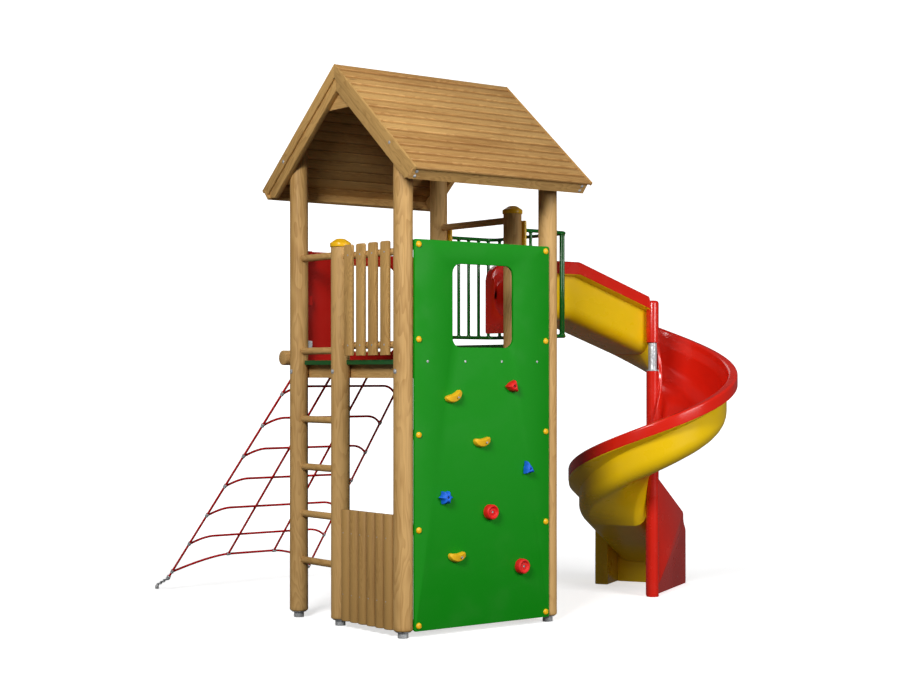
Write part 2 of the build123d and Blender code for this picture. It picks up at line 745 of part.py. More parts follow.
def exit_lip_wall():
    """The cross wall under the trough's end, whose top lies inside the trough's skin."""
    inner = sleeve_d / 2 + 2 * seat
    v0, v1 = inner + skin / 2, wall_r - skin / 2
    low, r, wide = exit_base_z + skin / 2, trough_round - skin / 2, outer_round - skin / 2
    share = 1 - sqrt(0.5)
    place = exit_place(exit_lip - exit_step)
    face = make_face([
        Line(place(v0, 0), place(v1, 0)), Line(place(v1, 0), place(v1, low + wide)),
        ThreePointArc(place(v1, low + wide), place(v1 - wide * share, low + wide * share), place(v1 - wide, low)),
        Line(place(v1 - wide, low), place(v0 + r, low)),
        ThreePointArc(place(v0 + r, low), place(v0 + r * share, low + r * share), place(v0, low + r)),
        Line(place(v0, low + r), place(v0, 0))])
    back = Vector(*exit_place(0)(0, 0)) - Vector(*exit_place(1)(0, 0))
    return extrude(face, amount=skin, dir=back)


make_posts()
make_roof()
make_deck()
make_ladder_side()
make_walls()
make_holds()
make_net()
make_guard()
make_slide()
for node, shape in nodes.items():
    export_step(shape, f"parts/{node}.step")
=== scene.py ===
"""The looks of a timber play tower: posts, gable roof, climbing wall, rope net and spiral slide.

Every piece is in metres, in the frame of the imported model. The origin is on the ground under the
front corner post, +X runs along the climbing wall, +Y along the ladder side and +Z is up.
"""
import logging
import math
from collections.abc import Callable, Sequence
from dataclasses import dataclass, field
from enum import Enum
from functools import cache

import bmesh
import bpy
import numpy as np
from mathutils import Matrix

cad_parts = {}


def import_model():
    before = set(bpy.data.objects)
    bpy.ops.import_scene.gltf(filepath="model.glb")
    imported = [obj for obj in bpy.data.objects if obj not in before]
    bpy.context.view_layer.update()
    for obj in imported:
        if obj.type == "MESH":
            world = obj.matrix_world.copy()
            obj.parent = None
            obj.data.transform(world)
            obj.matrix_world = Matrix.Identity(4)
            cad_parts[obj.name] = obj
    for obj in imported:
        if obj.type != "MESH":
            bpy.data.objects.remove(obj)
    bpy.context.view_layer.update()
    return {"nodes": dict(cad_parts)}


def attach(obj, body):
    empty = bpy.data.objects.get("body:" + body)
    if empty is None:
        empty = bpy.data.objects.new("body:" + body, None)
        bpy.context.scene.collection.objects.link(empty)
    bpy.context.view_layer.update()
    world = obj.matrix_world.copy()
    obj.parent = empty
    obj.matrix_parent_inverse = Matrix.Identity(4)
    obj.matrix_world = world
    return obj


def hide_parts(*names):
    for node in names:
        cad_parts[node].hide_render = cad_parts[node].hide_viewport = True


LOG = logging.getLogger("play_tower")
ROOF_PITCH = math.radians(40.3)
SIDE = 1.140
POST_RADIUS = 0.060
RIDGE_Z = 3.490
WALL_FACE_Y = -0.063
POST_E_Y = 0.663
POST_F_Y = 0.348
THIRD = 1.0 / 3.0
RED_ABOVE = 1.90
ARC_STEPS = 8
RGB = tuple[int, int, int]
Grid = np.ndarray


class Grain(Enum):
    """Which way a timber's grain runs, as the turn in degrees that brings it upright."""

    UPRIGHT = (0.0, 0.0, 0.0)
    ALONG_X = (0.0, -90.0, 0.0)
    ALONG_Y = (90.0, 0.0, 0.0)
    FRONT_SLOPE = (90.0 - math.degrees(ROOF_PITCH), 0.0, 0.0)
    BACK_SLOPE = (90.0 + math.degrees(ROOF_PITCH), 0.0, 0.0)


class Touch(Enum):
    """The small relief of a plastic or painted skin: bumps to the metre and their height in metres."""

    SMOOTH = (60.0, 0.00025)
    ORANGE_PEEL = (420.0, 0.00012)
    GRIT = (900.0, 0.0005)


def linear(colour: RGB) -> tuple[float, float, float, float]:
    """Turn a screen colour into the light it stands for.

    The formula is the standard one: ((c + 0.055) / 1.055) to the power 2.4, c from 0 to 1.

    Args:
        colour: Red, green and blue from 0 to 255.

    Returns:
        The linear colour with an alpha of 1.
    """
    red, green, blue = (((c / 255 + 0.055) / 1.055) ** 2.4 for c in colour)
    return red, green, blue, 1.0


class Bench:
    """A new material's node tree, with short calls that place and join its nodes."""

    def __init__(self, name: str) -> None:
        """Start a material of that name with its principled shader."""
        self.material = bpy.data.materials.new(name)
        self.material.use_nodes = True
        self.tree = self.material.node_tree
        self.shader = self.tree.nodes["Principled BSDF"]

    def feed(self, socket: bpy.types.NodeSocket, value: object) -> None:
        """Join a socket to another, or set its value."""
        if isinstance(value, bpy.types.NodeSocket):
            self.tree.links.new(value, socket)
        else:
            socket.default_value = value

    def node(self, kind: str, inputs: dict | None = None, **settings: object) -> bpy.types.Node:
        """Place one node.

        Args:
            kind: The node's type.
            inputs: Values or sockets for its inputs, by name or number.
            **settings: The node's own options.

        Returns:
            The new node.
        """
        made = self.tree.nodes.new(kind)
        for key, value in settings.items():
            setattr(made, key, value)
        for key, value in (inputs or {}).items():
            self.feed(made.inputs[key], value)
        return made

    def place(self, turn: Sequence[float] = (0, 0, 0),
              scale: Sequence[float] = (1, 1, 1)) -> bpy.types.NodeSocket:
        """The object's own coordinates, turned by some degrees and then stretched."""
        seen = self.node("ShaderNodeTexCoord").outputs["Object"]
        turned = self.node("ShaderNodeMapping", {"Vector": seen, "Rotation": [math.radians(t) for t in turn]})
        return self.node("ShaderNodeMapping", {"Vector": turned.outputs[0], "Scale": scale}).outputs[0]

    def noise(self, place: bpy.types.NodeSocket, scale: float, detail: float = 3.0) -> bpy.types.NodeSocket:
        """Soft random values from 0 to 1."""
        inputs = {"Vector": place, "Scale": scale, "Detail": detail}
        return self.node("ShaderNodeTexNoise", inputs).outputs[0]

    def maths(self, operation: str, a: object, b: object = 0.0) -> bpy.types.NodeSocket:
        """One operation on two values."""
        return self.node("ShaderNodeMath", {0: a, 1: b}, operation=operation).outputs[0]

    def times(self, a: object, b: object) -> bpy.types.NodeSocket:
        """The product of two values."""
        return self.maths("MULTIPLY", a, b)

    def plus(self, a: object, b: object) -> bpy.types.NodeSocket:
        """The sum of two values."""
        return self.maths("ADD", a, b)

    def span(self, value: object, low: float, high: float, out_low: float = 0.0,
             out_high: float = 1.0) -> bpy.types.NodeSocket:
        """Carry a range of values softly onto another."""
        inputs = {"Value": value, "From Min": low, "From Max": high, "To Min": out_low, "To Max": out_high}
        return self.node("ShaderNodeMapRange", inputs, interpolation_type="SMOOTHSTEP").outputs[0]

    def mix(self, share: object, a: object, b: object) -> bpy.types.NodeSocket:
        """Blend two colours by a share from 0 to 1."""
        made = self.node("ShaderNodeMix", data_type="RGBA")
        for index, value in ((0, share), (6, a), (7, b)):
            self.feed(made.inputs[index], value)
        return made.outputs[2]

    def relief(self, height: bpy.types.NodeSocket, depth: float, strength: float = 1.0) -> None:
        """Give the shader a bump of that depth in metres."""
        bump = self.node("ShaderNodeBump", {"Height": height, "Distance": depth, "Strength": strength})
        self.feed(self.shader.inputs["Normal"], bump.outputs[0])

    def set(self, **values: object) -> None:
        """Set or join the shader's own inputs, with _ for a space."""
        for key, value in values.items():
            self.feed(self.shader.inputs[key.replace("_", " ")], value)


@dataclass(frozen=True)
class Timber:
    """Oiled softwood: long flame-like rings, fine fibres, a few knots and drying checks."""

    name: str
    grain: Grain
    slot: str = "timber"
    pale: RGB = (206, 164, 102)
    dark: RGB = (166, 122, 64)
    knot: RGB = (92, 58, 28)
    rings: float = 9.0
    ring_share: float = 0.42
    knots: float = 0.7
    checks: float = 0.25

    def material(self) -> bpy.types.Material:
        """Rings are level lines of stretched noise: frac(rings * noise) gives their soft and hard sides."""
        bench = Bench(self.name)
        turn = self.grain.value
        tone = bench.node("ShaderNodeAttribute", attribute_name="tone").outputs["Fac"]
        shift = bench.times(tone, 3.0)
        flame = bench.place(turn, (9.0, 9.0, 1.7))
        moved = bench.node("ShaderNodeCombineXYZ", {"X": shift, "Y": shift, "Z": shift}).outputs[0]
        flame = bench.node("ShaderNodeVectorMath", {0: flame, 1: moved}, operation="ADD").outputs[0]
        knot_cells = bench.node("ShaderNodeTexVoronoi", {
            "Vector": bench.place(turn, (6.0, 6.0, 1.9)), "Scale": 1.0, "Randomness": 1.0})
        chosen = bench.span(knot_cells.outputs["Color"], 0.62, 0.64)
        near_knot = bench.times(bench.span(knot_cells.outputs["Distance"], 0.42, 0.0), chosen)
        wave = bench.noise(flame, 1.0, 2.0)
        wave = bench.plus(wave, bench.times(near_knot, 0.16))
        ring = bench.maths("FRACT", bench.times(wave, self.rings * 1.6))
        hard = bench.times(bench.span(ring, 0.15, 0.93), bench.span(ring, 1.0, 0.93))
        fibre = bench.noise(bench.place(turn, (190.0, 190.0, 5.0)), 1.0, 4.0)
        cloud = bench.noise(bench.place(turn, (4.0, 4.0, 1.2)), 1.0, 2.0)
        share = bench.times(hard, self.ring_share)
        share = bench.plus(share, bench.span(fibre, 0.3, 0.75, -0.12, 0.22))
        share = bench.plus(share, bench.span(cloud, 0.3, 0.7, -0.18, 0.22))
        # The tone attribute darkens at random from piece to piece, and also carries painted shade in the
        # roof's laps and between the stakes.
        share = bench.plus(share, bench.times(tone, 0.35))
        colour = bench.mix(share, linear(self.pale), linear(self.dark))
        core = bench.times(bench.span(knot_cells.outputs["Distance"], 0.1, 0.03), chosen)
        colour = bench.mix(bench.times(core, self.knots), colour, linear(self.knot))
        split = bench.noise(bench.place(turn, (34.0, 34.0, 0.55)), 1.0, 1.0)
        crack = bench.span(bench.maths("ABSOLUTE", bench.maths("SUBTRACT", split, 0.5)), 0.006, 0.0)
        patch = bench.span(bench.noise(bench.place(turn, (5.0, 5.0, 1.1)), 1.0, 1.0), 0.55, 0.62)
        crack = bench.times(bench.times(crack, patch), self.checks)
        colour = bench.mix(crack, colour, linear((70, 44, 22)))
        bench.set(Base_Color=colour, Roughness=bench.span(fibre, 0.3, 0.7, 0.52, 0.68))
        bench.set(Specular_IOR_Level=0.35)
        height = bench.maths("SUBTRACT", bench.times(fibre, 0.6), bench.times(crack, 3.0))
        bench.relief(bench.plus(height, bench.times(hard, 0.3)), 0.0006, 0.6)
        return bench.material


@dataclass(frozen=True)
class Plastic:
    """A coloured plastic skin, moulded or in sheet, with slow shifts of shade, dust and small relief."""

    name: str
    colour: RGB
    slot: str
    touch: Touch = Touch.SMOOTH
    roughness: float = 0.3
    dust: float = 0.06
    coat: float = 0.0
    shine: float = 0.4
    drift: float = 0.14

    def material(self) -> bpy.types.Material:
        """Colour is the plain one, a few percent lighter and duller where a slow noise is high."""
        bench = Bench(self.name)
        bumps, depth = self.touch.value
        slow = bench.noise(bench.place(), 2.4, 3.0)
        fine = bench.noise(bench.place(), bumps, 2.0)
        scuff = bench.noise(bench.place((0, 0, 20), (5.0, 4.0, 6.0)), 1.0, 5.0)
        colour = bench.mix(bench.span(slow, 0.35, 0.7, 0.0, self.drift), linear(self.colour),
                           linear(tuple(int(c * 0.86) for c in self.colour)))
        colour = bench.mix(bench.span(scuff, 0.5, 0.85, 0.0, self.dust), colour, linear((200, 194, 180)))
        bench.set(Base_Color=colour, Specular_IOR_Level=self.shine)
        bench.set(Coat_Weight=self.coat, Coat_Roughness=0.12)
        bench.set(Roughness=bench.span(scuff, 0.3, 0.8, self.roughness * 0.85, self.roughness * 1.3))
        bench.relief(bench.plus(fine, bench.times(slow, 1.5)), depth, 0.5)
        return bench.material


@dataclass(frozen=True)
class Zinc:
    """Hot-dip galvanised steel: crystal patches, dull grey with bright ones among them."""

    name: str
    slot: str = "galvanised"
    colour: RGB = (206, 208, 210)
    roughness: float = 0.34

    def material(self) -> bpy.types.Material:
        """Each crystal is a cell of a random pattern with its own grey and its own gloss."""
        bench = Bench(self.name)
        cells = bench.node("ShaderNodeTexVoronoi", {"Vector": bench.place(), "Scale": 110.0})
        shade = bench.span(cells.outputs["Color"], 0.0, 1.0)
        stain = bench.span(bench.noise(bench.place(), 14.0, 4.0), 0.5, 0.75)
        colour = bench.mix(shade, linear(self.colour), linear(tuple(int(c * 0.8) for c in self.colour)))
        colour = bench.mix(bench.times(stain, 0.35), colour, linear((132, 130, 126)))
        bench.set(Base_Color=colour, Metallic=0.25)
        bench.set(Roughness=bench.span(shade, 0.0, 1.0, self.roughness, self.roughness + 0.2))
        bench.relief(cells.outputs["Distance"], 0.0002, 0.3)
        return bench.material


@dataclass(frozen=True)
class RopeLay:
    """Twisted polyester over a steel core: slanting strands with painted shade between them, and fuzz."""

    name: str = "rope_red"
    slot: str = "rope_red"
    colour: RGB = (226, 24, 26)
    strands: float = 6.0
    lay: float = 0.060

    def material(self) -> bpy.types.Material:
        """A strand's roundness is |sin(pi * (strands * turn + run / lay))| on the rope's own map."""
        bench = Bench(self.name)
        seen = bench.node("ShaderNodeUVMap", uv_map="run").outputs[0]
        split = bench.node("ShaderNodeSeparateXYZ", {0: seen})
        phase = bench.plus(bench.times(split.outputs[0], self.strands),
                           bench.times(split.outputs[1], 1.0 / self.lay))
        strand = bench.maths("ABSOLUTE", bench.maths("SINE", bench.times(phase, math.pi)))
        fuzz = bench.noise(bench.place(), 900.0, 3.0)
        # Painted shade: the colour falls to 85 percent of itself between the strands.
        dark = linear(tuple(int(c * 0.85) for c in self.colour))
        colour = bench.mix(bench.span(strand, 0.05, 0.6), dark, linear(self.colour))
        colour = bench.mix(bench.span(fuzz, 0.5, 0.8, 0.0, 0.2), colour, linear((196, 60, 52)))
        bench.set(Base_Color=colour, Roughness=0.82, Specular_IOR_Level=0.2)
        bench.relief(bench.plus(strand, bench.times(fuzz, 0.3)), 0.0012, 0.8)
        return bench.material


@dataclass(frozen=True)
class DeckCoat:
    """Film-faced deck board: dark green with a pressed wire pattern that keeps feet from slipping."""

    name: str = "deck_board"
    slot: str = "deck_green"
    colour: RGB = (16, 84, 30)

    def material(self) -> bpy.types.Material:
        """The pressed wires are |sin| ridges 6 mm apart both ways, worn paler on their tops."""
        bench = Bench(self.name)
        split = bench.node("ShaderNodeSeparateXYZ", {0: bench.place()})
        waves = [bench.maths("ABSOLUTE", bench.maths("SINE", bench.times(split.outputs[i], math.pi / 0.006)))
                 for i in (0, 1)]
        wires = bench.maths("MAXIMUM", *waves)
        wear = bench.noise(bench.place(), 7.0, 4.0)
        colour = bench.mix(bench.span(wires, 0.9, 1.0, 0.0, 0.35), linear(self.colour), linear((52, 112, 60)))
        colour = bench.mix(bench.span(wear, 0.5, 0.8, 0.0, 0.3), colour, linear((60, 92, 58)))
        bench.set(Base_Color=colour, Roughness=bench.span(wear, 0.3, 0.7, 0.5, 0.75))
        bench.relief(wires, 0.0005, 0.6)
        return bench.material


class Finishes:
    """Every finish of the tower."""

    post = Timber("post_timber", Grain.UPRIGHT, rings=8.0)
    board = Timber("roof_board", Grain.ALONG_X, "roof_timber", (206, 163, 100), (158, 112, 58), rings=11.0)
    front_slope = Timber("front_slope_timber", Grain.FRONT_SLOPE, "roof_timber",
                        (202, 160, 96), (152, 108, 54))
    back_slope = Timber("back_slope_timber", Grain.BACK_SLOPE, "roof_timber",
                       (202, 160, 96), (152, 108, 54))
    lengthwise = Timber("lengthwise_timber", Grain.ALONG_X)
    crosswise = Timber("crosswise_timber", Grain.ALONG_Y)
    slat = Timber("slat_timber", Grain.UPRIGHT, pale=(208, 164, 98), dark=(158, 112, 56), rings=12.0)
    stake = Timber("stake_timber", Grain.UPRIGHT, pale=(186, 145, 84), dark=(140, 100, 50), rings=14.0)
    wall_green = Plastic("wall_green", (8, 138, 10), "panel_green", Touch.ORANGE_PEEL,
                         roughness=0.6, dust=0.012, shine=0.22, drift=0.04)
    portal_red = Plastic("portal_red", (170, 16, 2), "panel_red", Touch.ORANGE_PEEL,
                         roughness=0.6, dust=0.012, shine=0.15, drift=0.06)
    cap_yellow = Plastic("cap_yellow", (248, 190, 24), "yellow_plastic", roughness=0.3)
    board_yellow = Plastic("board_yellow", (214, 170, 22), "yellow_plastic", Touch.ORANGE_PEEL, roughness=0.4)
    hold_yellow = Plastic("hold_yellow", (246, 188, 26), "yellow_plastic", Touch.GRIT, roughness=0.55)
    hold_red = Plastic("hold_red", (224, 24, 20), "red_plastic", Touch.GRIT, roughness=0.55)
    hold_blue = Plastic("hold_blue", (18, 104, 226), "blue_plastic", Touch.GRIT, roughness=0.55)
    slide_red = Plastic("slide_red", (226, 34, 16), "slide_shell", roughness=0.24, dust=0.04, coat=0.4)
    slide_yellow = Plastic("slide_yellow", (247, 203, 10), "slide_shell", roughness=0.3, dust=0.04, coat=0.25)
    sleeve_red = Plastic("sleeve_red", (222, 34, 18), "red_plastic", roughness=0.26, dust=0.04, coat=0.3)
    bracket_black = Plastic("bracket_black", (26, 26, 26), "black_steel", Touch.ORANGE_PEEL, roughness=0.45)
    tube_green = Plastic("tube_green", (8, 104, 26), "green_tube", Touch.ORANGE_PEEL,
                         roughness=0.22, dust=0.03, coat=0.5)
    zinc = Zinc("zinc")
    rope = RopeLay()
    deck = DeckCoat()


Finish = Timber | Plastic | Zinc | RopeLay | DeckCoat


@cache
def material(finish: Finish) -> bpy.types.Material:
    """A finish's material, made at its first use."""
    return finish.material()


def grid_quads(rows: int, cols: int, wrap_rows: bool, wrap_cols: bool) -> Grid:
    """Corner numbers of the squares between a grid's neighbouring points.

    Args:
        rows: Stations along the surface.
        cols: Points round each station.
        wrap_rows: The last station joins the first.
        wrap_cols: The last point of a station joins its first.

    Returns:
        An array of row by column by 4 point numbers.
    """
    high, wide = rows - (not wrap_rows), cols - (not wrap_cols)
    row, col = np.meshgrid(np.arange(high), np.arange(wide), indexing="ij")
    ahead, beside = (row + 1) % rows, (col + 1) % cols
    return np.stack([row * cols + col, row * cols + beside, ahead * cols + beside, ahead * cols + col], -1)


def unit(vectors: Grid) -> Grid:
    """Vectors divided by their own lengths."""
    return vectors / np.linalg.norm(vectors, axis=-1, keepdims=True)


def side_axes(axis: Grid) -> tuple[Grid, Grid]:
    """Two directions square to an axis and to each other: cross(axis, helper) and its cross with the axis."""
    axis = unit(np.asarray(axis, float))
    helper = np.where(np.abs(axis[..., 2:]) > 0.9, np.array([1.0, 0.0, 0.0]), np.array([0.0, 0.0, 1.0]))
    across = unit(np.cross(axis, helper))
    return across, np.cross(axis, across)


def circle(sides: int) -> Grid:
    """The angles of points spaced evenly round a circle."""
    return np.arange(sides) / sides * math.tau


def arcs(start: Grid, corner: Grid, stop: Grid, half: Grid, steps: int) -> Grid:
    """True arcs round corners, each written as a weighted quadratic curve.

    With legs from A to B through the corner C and the half angle h between the sides, a point is
    ((1-s)^2 A + 2 w s (1-s) C + s^2 B) / ((1-s)^2 + 2 w s (1-s) + s^2), where w = sin(h).
    """
    s = np.linspace(0, 1, steps)[:, None]
    weight = 2 * np.sin(half)[..., None, None] * s * (1 - s)
    top = (1 - s) ** 2 * start[..., None, :] + weight * corner[..., None, :] + s ** 2 * stop[..., None, :]
    return top / ((1 - s) ** 2 + weight + s ** 2)


def oblong(u0: float, u1: float, v0: float, v1: float) -> Grid:
    """A rectangle's four corners in turn."""
    return np.array([(u0, v0), (u1, v0), (u1, v1), (u0, v1)])


def smooth(value: Grid | float, low: float, high: float) -> Grid:
    """0 below low, 1 above high and s s (3 - 2 s) between, where s is the share of the way."""
    s = np.clip((np.asarray(value, float) - low) / (high - low), 0, 1)
    return s * s * (3 - 2 * s)


def upright(pairs: Grid, x: float) -> Grid:
    """Carry pairs of Y and Z to 3-D at some X."""
    return np.stack([np.full(len(pairs), x), pairs[:, 0], pairs[:, 1]], -1)


def rounded(corners: Grid, radii: Sequence[float], steps: int = 6) -> Grid:
    """Round each corner of a closed outline by a true arc.

    Args:
        corners: The outline's corners, any number of outlines by corner by 2.
        radii: One radius for each corner, above 0.
        steps: Points on each arc.

    Returns:
        The rounded outline's points, outlines by point by 2.
    """
    before, after = np.roll(corners, 1, -2), np.roll(corners, -1, -2)
    back, ahead = before - corners, after - corners
    room = np.minimum(np.linalg.norm(back, axis=-1), np.linalg.norm(ahead, axis=-1)) * 0.49
    back, ahead = unit(back), unit(ahead)
    half = np.arccos(np.clip((back * ahead).sum(-1), -1, 1)) / 2
    reach = np.minimum(np.asarray(radii) / np.tan(half), room)[..., None]
    arc = arcs(corners + back * reach, corners, corners + ahead * reach, half, steps)
    return arc.reshape(*corners.shape[:-2], -1, 2)


def inset(outline: Grid, depth: float) -> Grid:
    """Move a closed outline inwards.

    Each corner moves by depth (n1 + n2) / (1 + n1.n2), where n1 and n2 are its sides' normals.
    """
    ahead = unit(np.roll(outline, -1, 0) - outline)
    normal = np.stack([-ahead[:, 1], ahead[:, 0]], -1)
    area = (outline[:, 0] * np.roll(outline[:, 1], -1) - np.roll(outline[:, 0], -1) * outline[:, 1]).sum()
    normal = normal if area > 0 else -normal
    last = np.roll(normal, 1, 0)
    return outline + depth * (normal + last) / (1 + (normal * last).sum(-1, keepdims=True))


@dataclass
class Skin:
    """Surfaces gathered for one object, each a grid of points with its own finish, tone and map."""

    points: list = field(default_factory=list)
    faces: list = field(default_factory=list)
    finish: list = field(default_factory=list)
    corners: list = field(default_factory=list)
    tones: list = field(default_factory=list)
    count: int = 0

    def sheet(self, grid: Grid, wrap_rows: bool = False, finish: int | Grid = 0,
              tone: float | Grid = 0.0) -> None:
        """Add one surface whose stations are closed rings, and close its ends unless they meet.

        Args:
            grid: Its points, station by point by 3.
            wrap_rows: The last station joins the first.
            finish: The number of the finish, or one for each column of squares.
            tone: How dark the piece is against its fellows, or one for each point of a station; painted shade
                in laps and grooves rides on it too.
        """
        rows, cols = grid.shape[:2]
        quads = grid_quads(rows, cols, wrap_rows, True)
        high, wide = quads.shape[:2]
        step = np.linalg.norm(np.roll(grid[:, 0], -1, 0) - grid[:, 0], axis=-1)
        run = np.concatenate([[0.0], np.cumsum(step)])[:high + 1]
        v, u = np.meshgrid(run, np.arange(wide + 1) / wide, indexing="ij")
        uv = np.stack([u, v], -1)
        uv = np.stack([uv[:-1, :-1], uv[:-1, 1:], uv[1:, 1:], uv[1:, :-1]], 2)
        self.faces += (quads.reshape(-1, 4) + self.count).tolist()
        self.corners.append(uv.reshape(-1, 2))
        self.finish.append(np.broadcast_to(np.asarray(finish), (high, wide)).reshape(-1))
        if not wrap_rows:
            first = self.count + np.arange(cols)
            last = first + (rows - 1) * cols
            self.faces += [first[::-1].tolist(), last.tolist()]
            self.corners.append(np.zeros((2 * cols, 2)))
            end = finish if np.isscalar(finish) else 0
            self.finish.append(np.array([end, end]))
        self.points.append(grid.reshape(-1, 3))
        self.tones.append(np.broadcast_to(np.asarray(tone, float), (rows, cols)).reshape(-1))
        self.count += rows * cols

    def plank(self, outline: Grid, place: Callable[[Grid, float], Grid], low: float, high: float,
              edge: float = 0.003, finish: int = 0, tone: float | Grid = 0.0) -> None:
        """Add a flat piece over an outline, its long edges eased by three small steps.

        Args:
            outline: The face's outline, point by 2.
            place: Carries the outline to 3-D at some depth.
            low: Depth of one face.
            high: Depth of the other.
            edge: Width of the eased edge.
            finish: The number of the finish.
            tone: The piece's tone.
        """
        stations = ((low, edge), (low + 0.3 * edge, 0.3 * edge), (low + edge, 0.0), (high - edge, 0.0),
                    (high - 0.3 * edge, 0.3 * edge), (high, edge))
        grid = np.stack([place(inset(outline, shift), depth) for depth, shift in stations])
        self.sheet(grid, finish=finish, tone=tone)

    def rod(self, start: Sequence[float], end: Sequence[float], radius: float, edge: float = 0.004,
            sides: int = 32, tone: float = 0.0) -> None:
        """Add a round bar: centre + radius (cos a, sin a) on each station, with eased ends."""
        start, end = np.asarray(start, float), np.asarray(end, float)
        length = np.linalg.norm(end - start)
        along = np.array([0, 0.3 * edge, edge, length - edge, length - 0.3 * edge, length])[:, None, None]
        wide = radius - np.array([edge, 0.3 * edge, 0, 0, 0.3 * edge, edge])[:, None, None]
        self.sheet(self.ring(start, end, sides, wide, along), tone=tone)

    @staticmethod
    def ring(start: Grid, end: Grid, sides: int, wide: Grid, along: Grid) -> Grid:
        """Rings square to a line: start + along * axis + wide * (across cos a + up sin a)."""
        axis = unit(end - start)
        across, up = side_axes(axis)
        angle = circle(sides)[None, :, None]
        return start + along * axis + wide * (np.cos(angle) * across + np.sin(angle) * up)

    def lathe(self, profile: Sequence[tuple[float, float]], origin: Sequence[float], axis: Sequence[float],
              sides: int = 24, finish: int = 0) -> None:
        """Add a turned form: each profile pair is a radius and a height along the axis."""
        pairs = np.asarray(profile, float)[:, :, None, None]
        origin = np.asarray(origin, float)
        wide = np.maximum(pairs[:, 0], 2e-4)
        self.sheet(self.ring(origin, origin + axis, sides, wide, pairs[:, 1]), finish=finish)

    def tube(self, path: Grid, radius: float, sides: int = 14, closed: bool = False) -> None:
        """Add a round tube along points, its rings square to the line between their neighbours."""
        if closed:
            ahead = np.roll(path, -1, 0) - np.roll(path, 1, 0)
        else:
            ahead = np.gradient(path, axis=0)
        across, up = side_axes(ahead)
        angle = circle(sides)[None, :, None]
        grid = path[:, None] + radius * (np.cos(angle) * across[:, None] + np.sin(angle) * up[:, None])
        self.sheet(grid, wrap_rows=closed)

    def bolt(self, at: Sequence[float], axis: Sequence[float], radius: float = 0.011, height: float = 0.007,
             finish: int = 0) -> None:
        """Add a washer with a mushroom head on it, seated a hair inside what it holds."""
        disc = [(0.0, -0.001), (1.35, -0.001), (1.35, 0.18), (1.25, 0.26), (1.0, 0.26), (0.97, 0.5),
                (0.84, 0.78), (0.55, 0.95), (0.3, 1.0), (0.26, 0.8), (0.0, 0.8)]
        self.lathe([(r * radius, h * height if h > 0 else h) for r, h in disc], at, axis, 20, finish)

    def build(self, name: str, *finishes: Finish, node: str = "", sharp: float = 32.0) -> None:
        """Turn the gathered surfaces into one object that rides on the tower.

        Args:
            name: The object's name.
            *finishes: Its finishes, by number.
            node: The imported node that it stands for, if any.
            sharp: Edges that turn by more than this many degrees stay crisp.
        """
        mesh = bpy.data.meshes.new(name)
        mesh.from_pydata(np.concatenate(self.points).tolist(), [], self.faces)
        run = mesh.uv_layers.new(name="run").data
        run.foreach_set("uv", np.concatenate(self.corners).astype(np.float32).ravel())
        tone = mesh.attributes.new("tone", "FLOAT", "POINT").data
        tone.foreach_set("value", np.concatenate(self.tones).astype(np.float32))
        for finish in finishes:
            mesh.materials.append(material(finish))
        mesh.polygons.foreach_set("material_index", np.concatenate(self.finish).astype(np.int32))
        solid = bmesh.new()
        solid.from_mesh(mesh)
        bmesh.ops.recalc_face_normals(solid, faces=solid.faces)
        solid.to_mesh(mesh)
        solid.free()
        mesh.shade_smooth()
        mesh.set_sharp_from_angle(angle=math.radians(sharp))
        made = bpy.data.objects.new(name, mesh)
        bpy.context.scene.collection.objects.link(made)
        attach(made, "root")
        if node:
            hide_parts(node)
        LOG.info("%s: %d points, %d faces", name, len(mesh.vertices), len(mesh.polygons))


def dress(frame: dict, finish: Finish, *nodes: str) -> None:
    """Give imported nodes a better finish."""
    for name in nodes:
        mesh = frame["nodes"][name].data
        mesh.materials.clear()
        mesh.materials.append(material(finish))


def dress_packed(frame: dict) -> None:
    """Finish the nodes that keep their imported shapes; the portal's brackets are red above and zinc below."""
    dress(frame, Finishes.crosswise, "roof_gussets", "deck_joists")
    dress(frame, Finishes.zinc, "post_shoes")
    dress(frame, Finishes.deck, "deck_plate", "step_plate")
    dress(frame, Finishes.bracket_black, "panel_brackets")
    brackets = frame["nodes"]["panel_brackets"].data
    for finish in (Finishes.zinc, Finishes.portal_red):
        brackets.materials.append(material(finish))
    for face in brackets.polygons:
        portal = face.center.y > SIDE / 2
        face.material_index = int(portal) + int(portal and face.center.z > RED_ABOVE)


def tones(count: int, seed: int) -> Grid:
    """A fixed set of tones, one for each board."""
    return np.random.default_rng(seed).uniform(-0.5, 0.5, count)


def bent(points: Grid, radius: float, steps: int = 9) -> Grid:
    """An open line whose inner corners are arcs of one radius."""
    points = np.asarray(points, float)
    corner, back, ahead = points[1:-1], unit(points[:-2] - points[1:-1]), unit(points[2:] - points[1:-1])
    half = np.arccos(np.clip((back * ahead).sum(-1), -1, 1)) / 2
    reach = (radius / np.tan(half))[:, None]
    arc = arcs(corner + back * reach, corner, corner + ahead * reach, half, steps)
    return np.concatenate([points[:1], arc.reshape(-1, 3), points[-1:]])


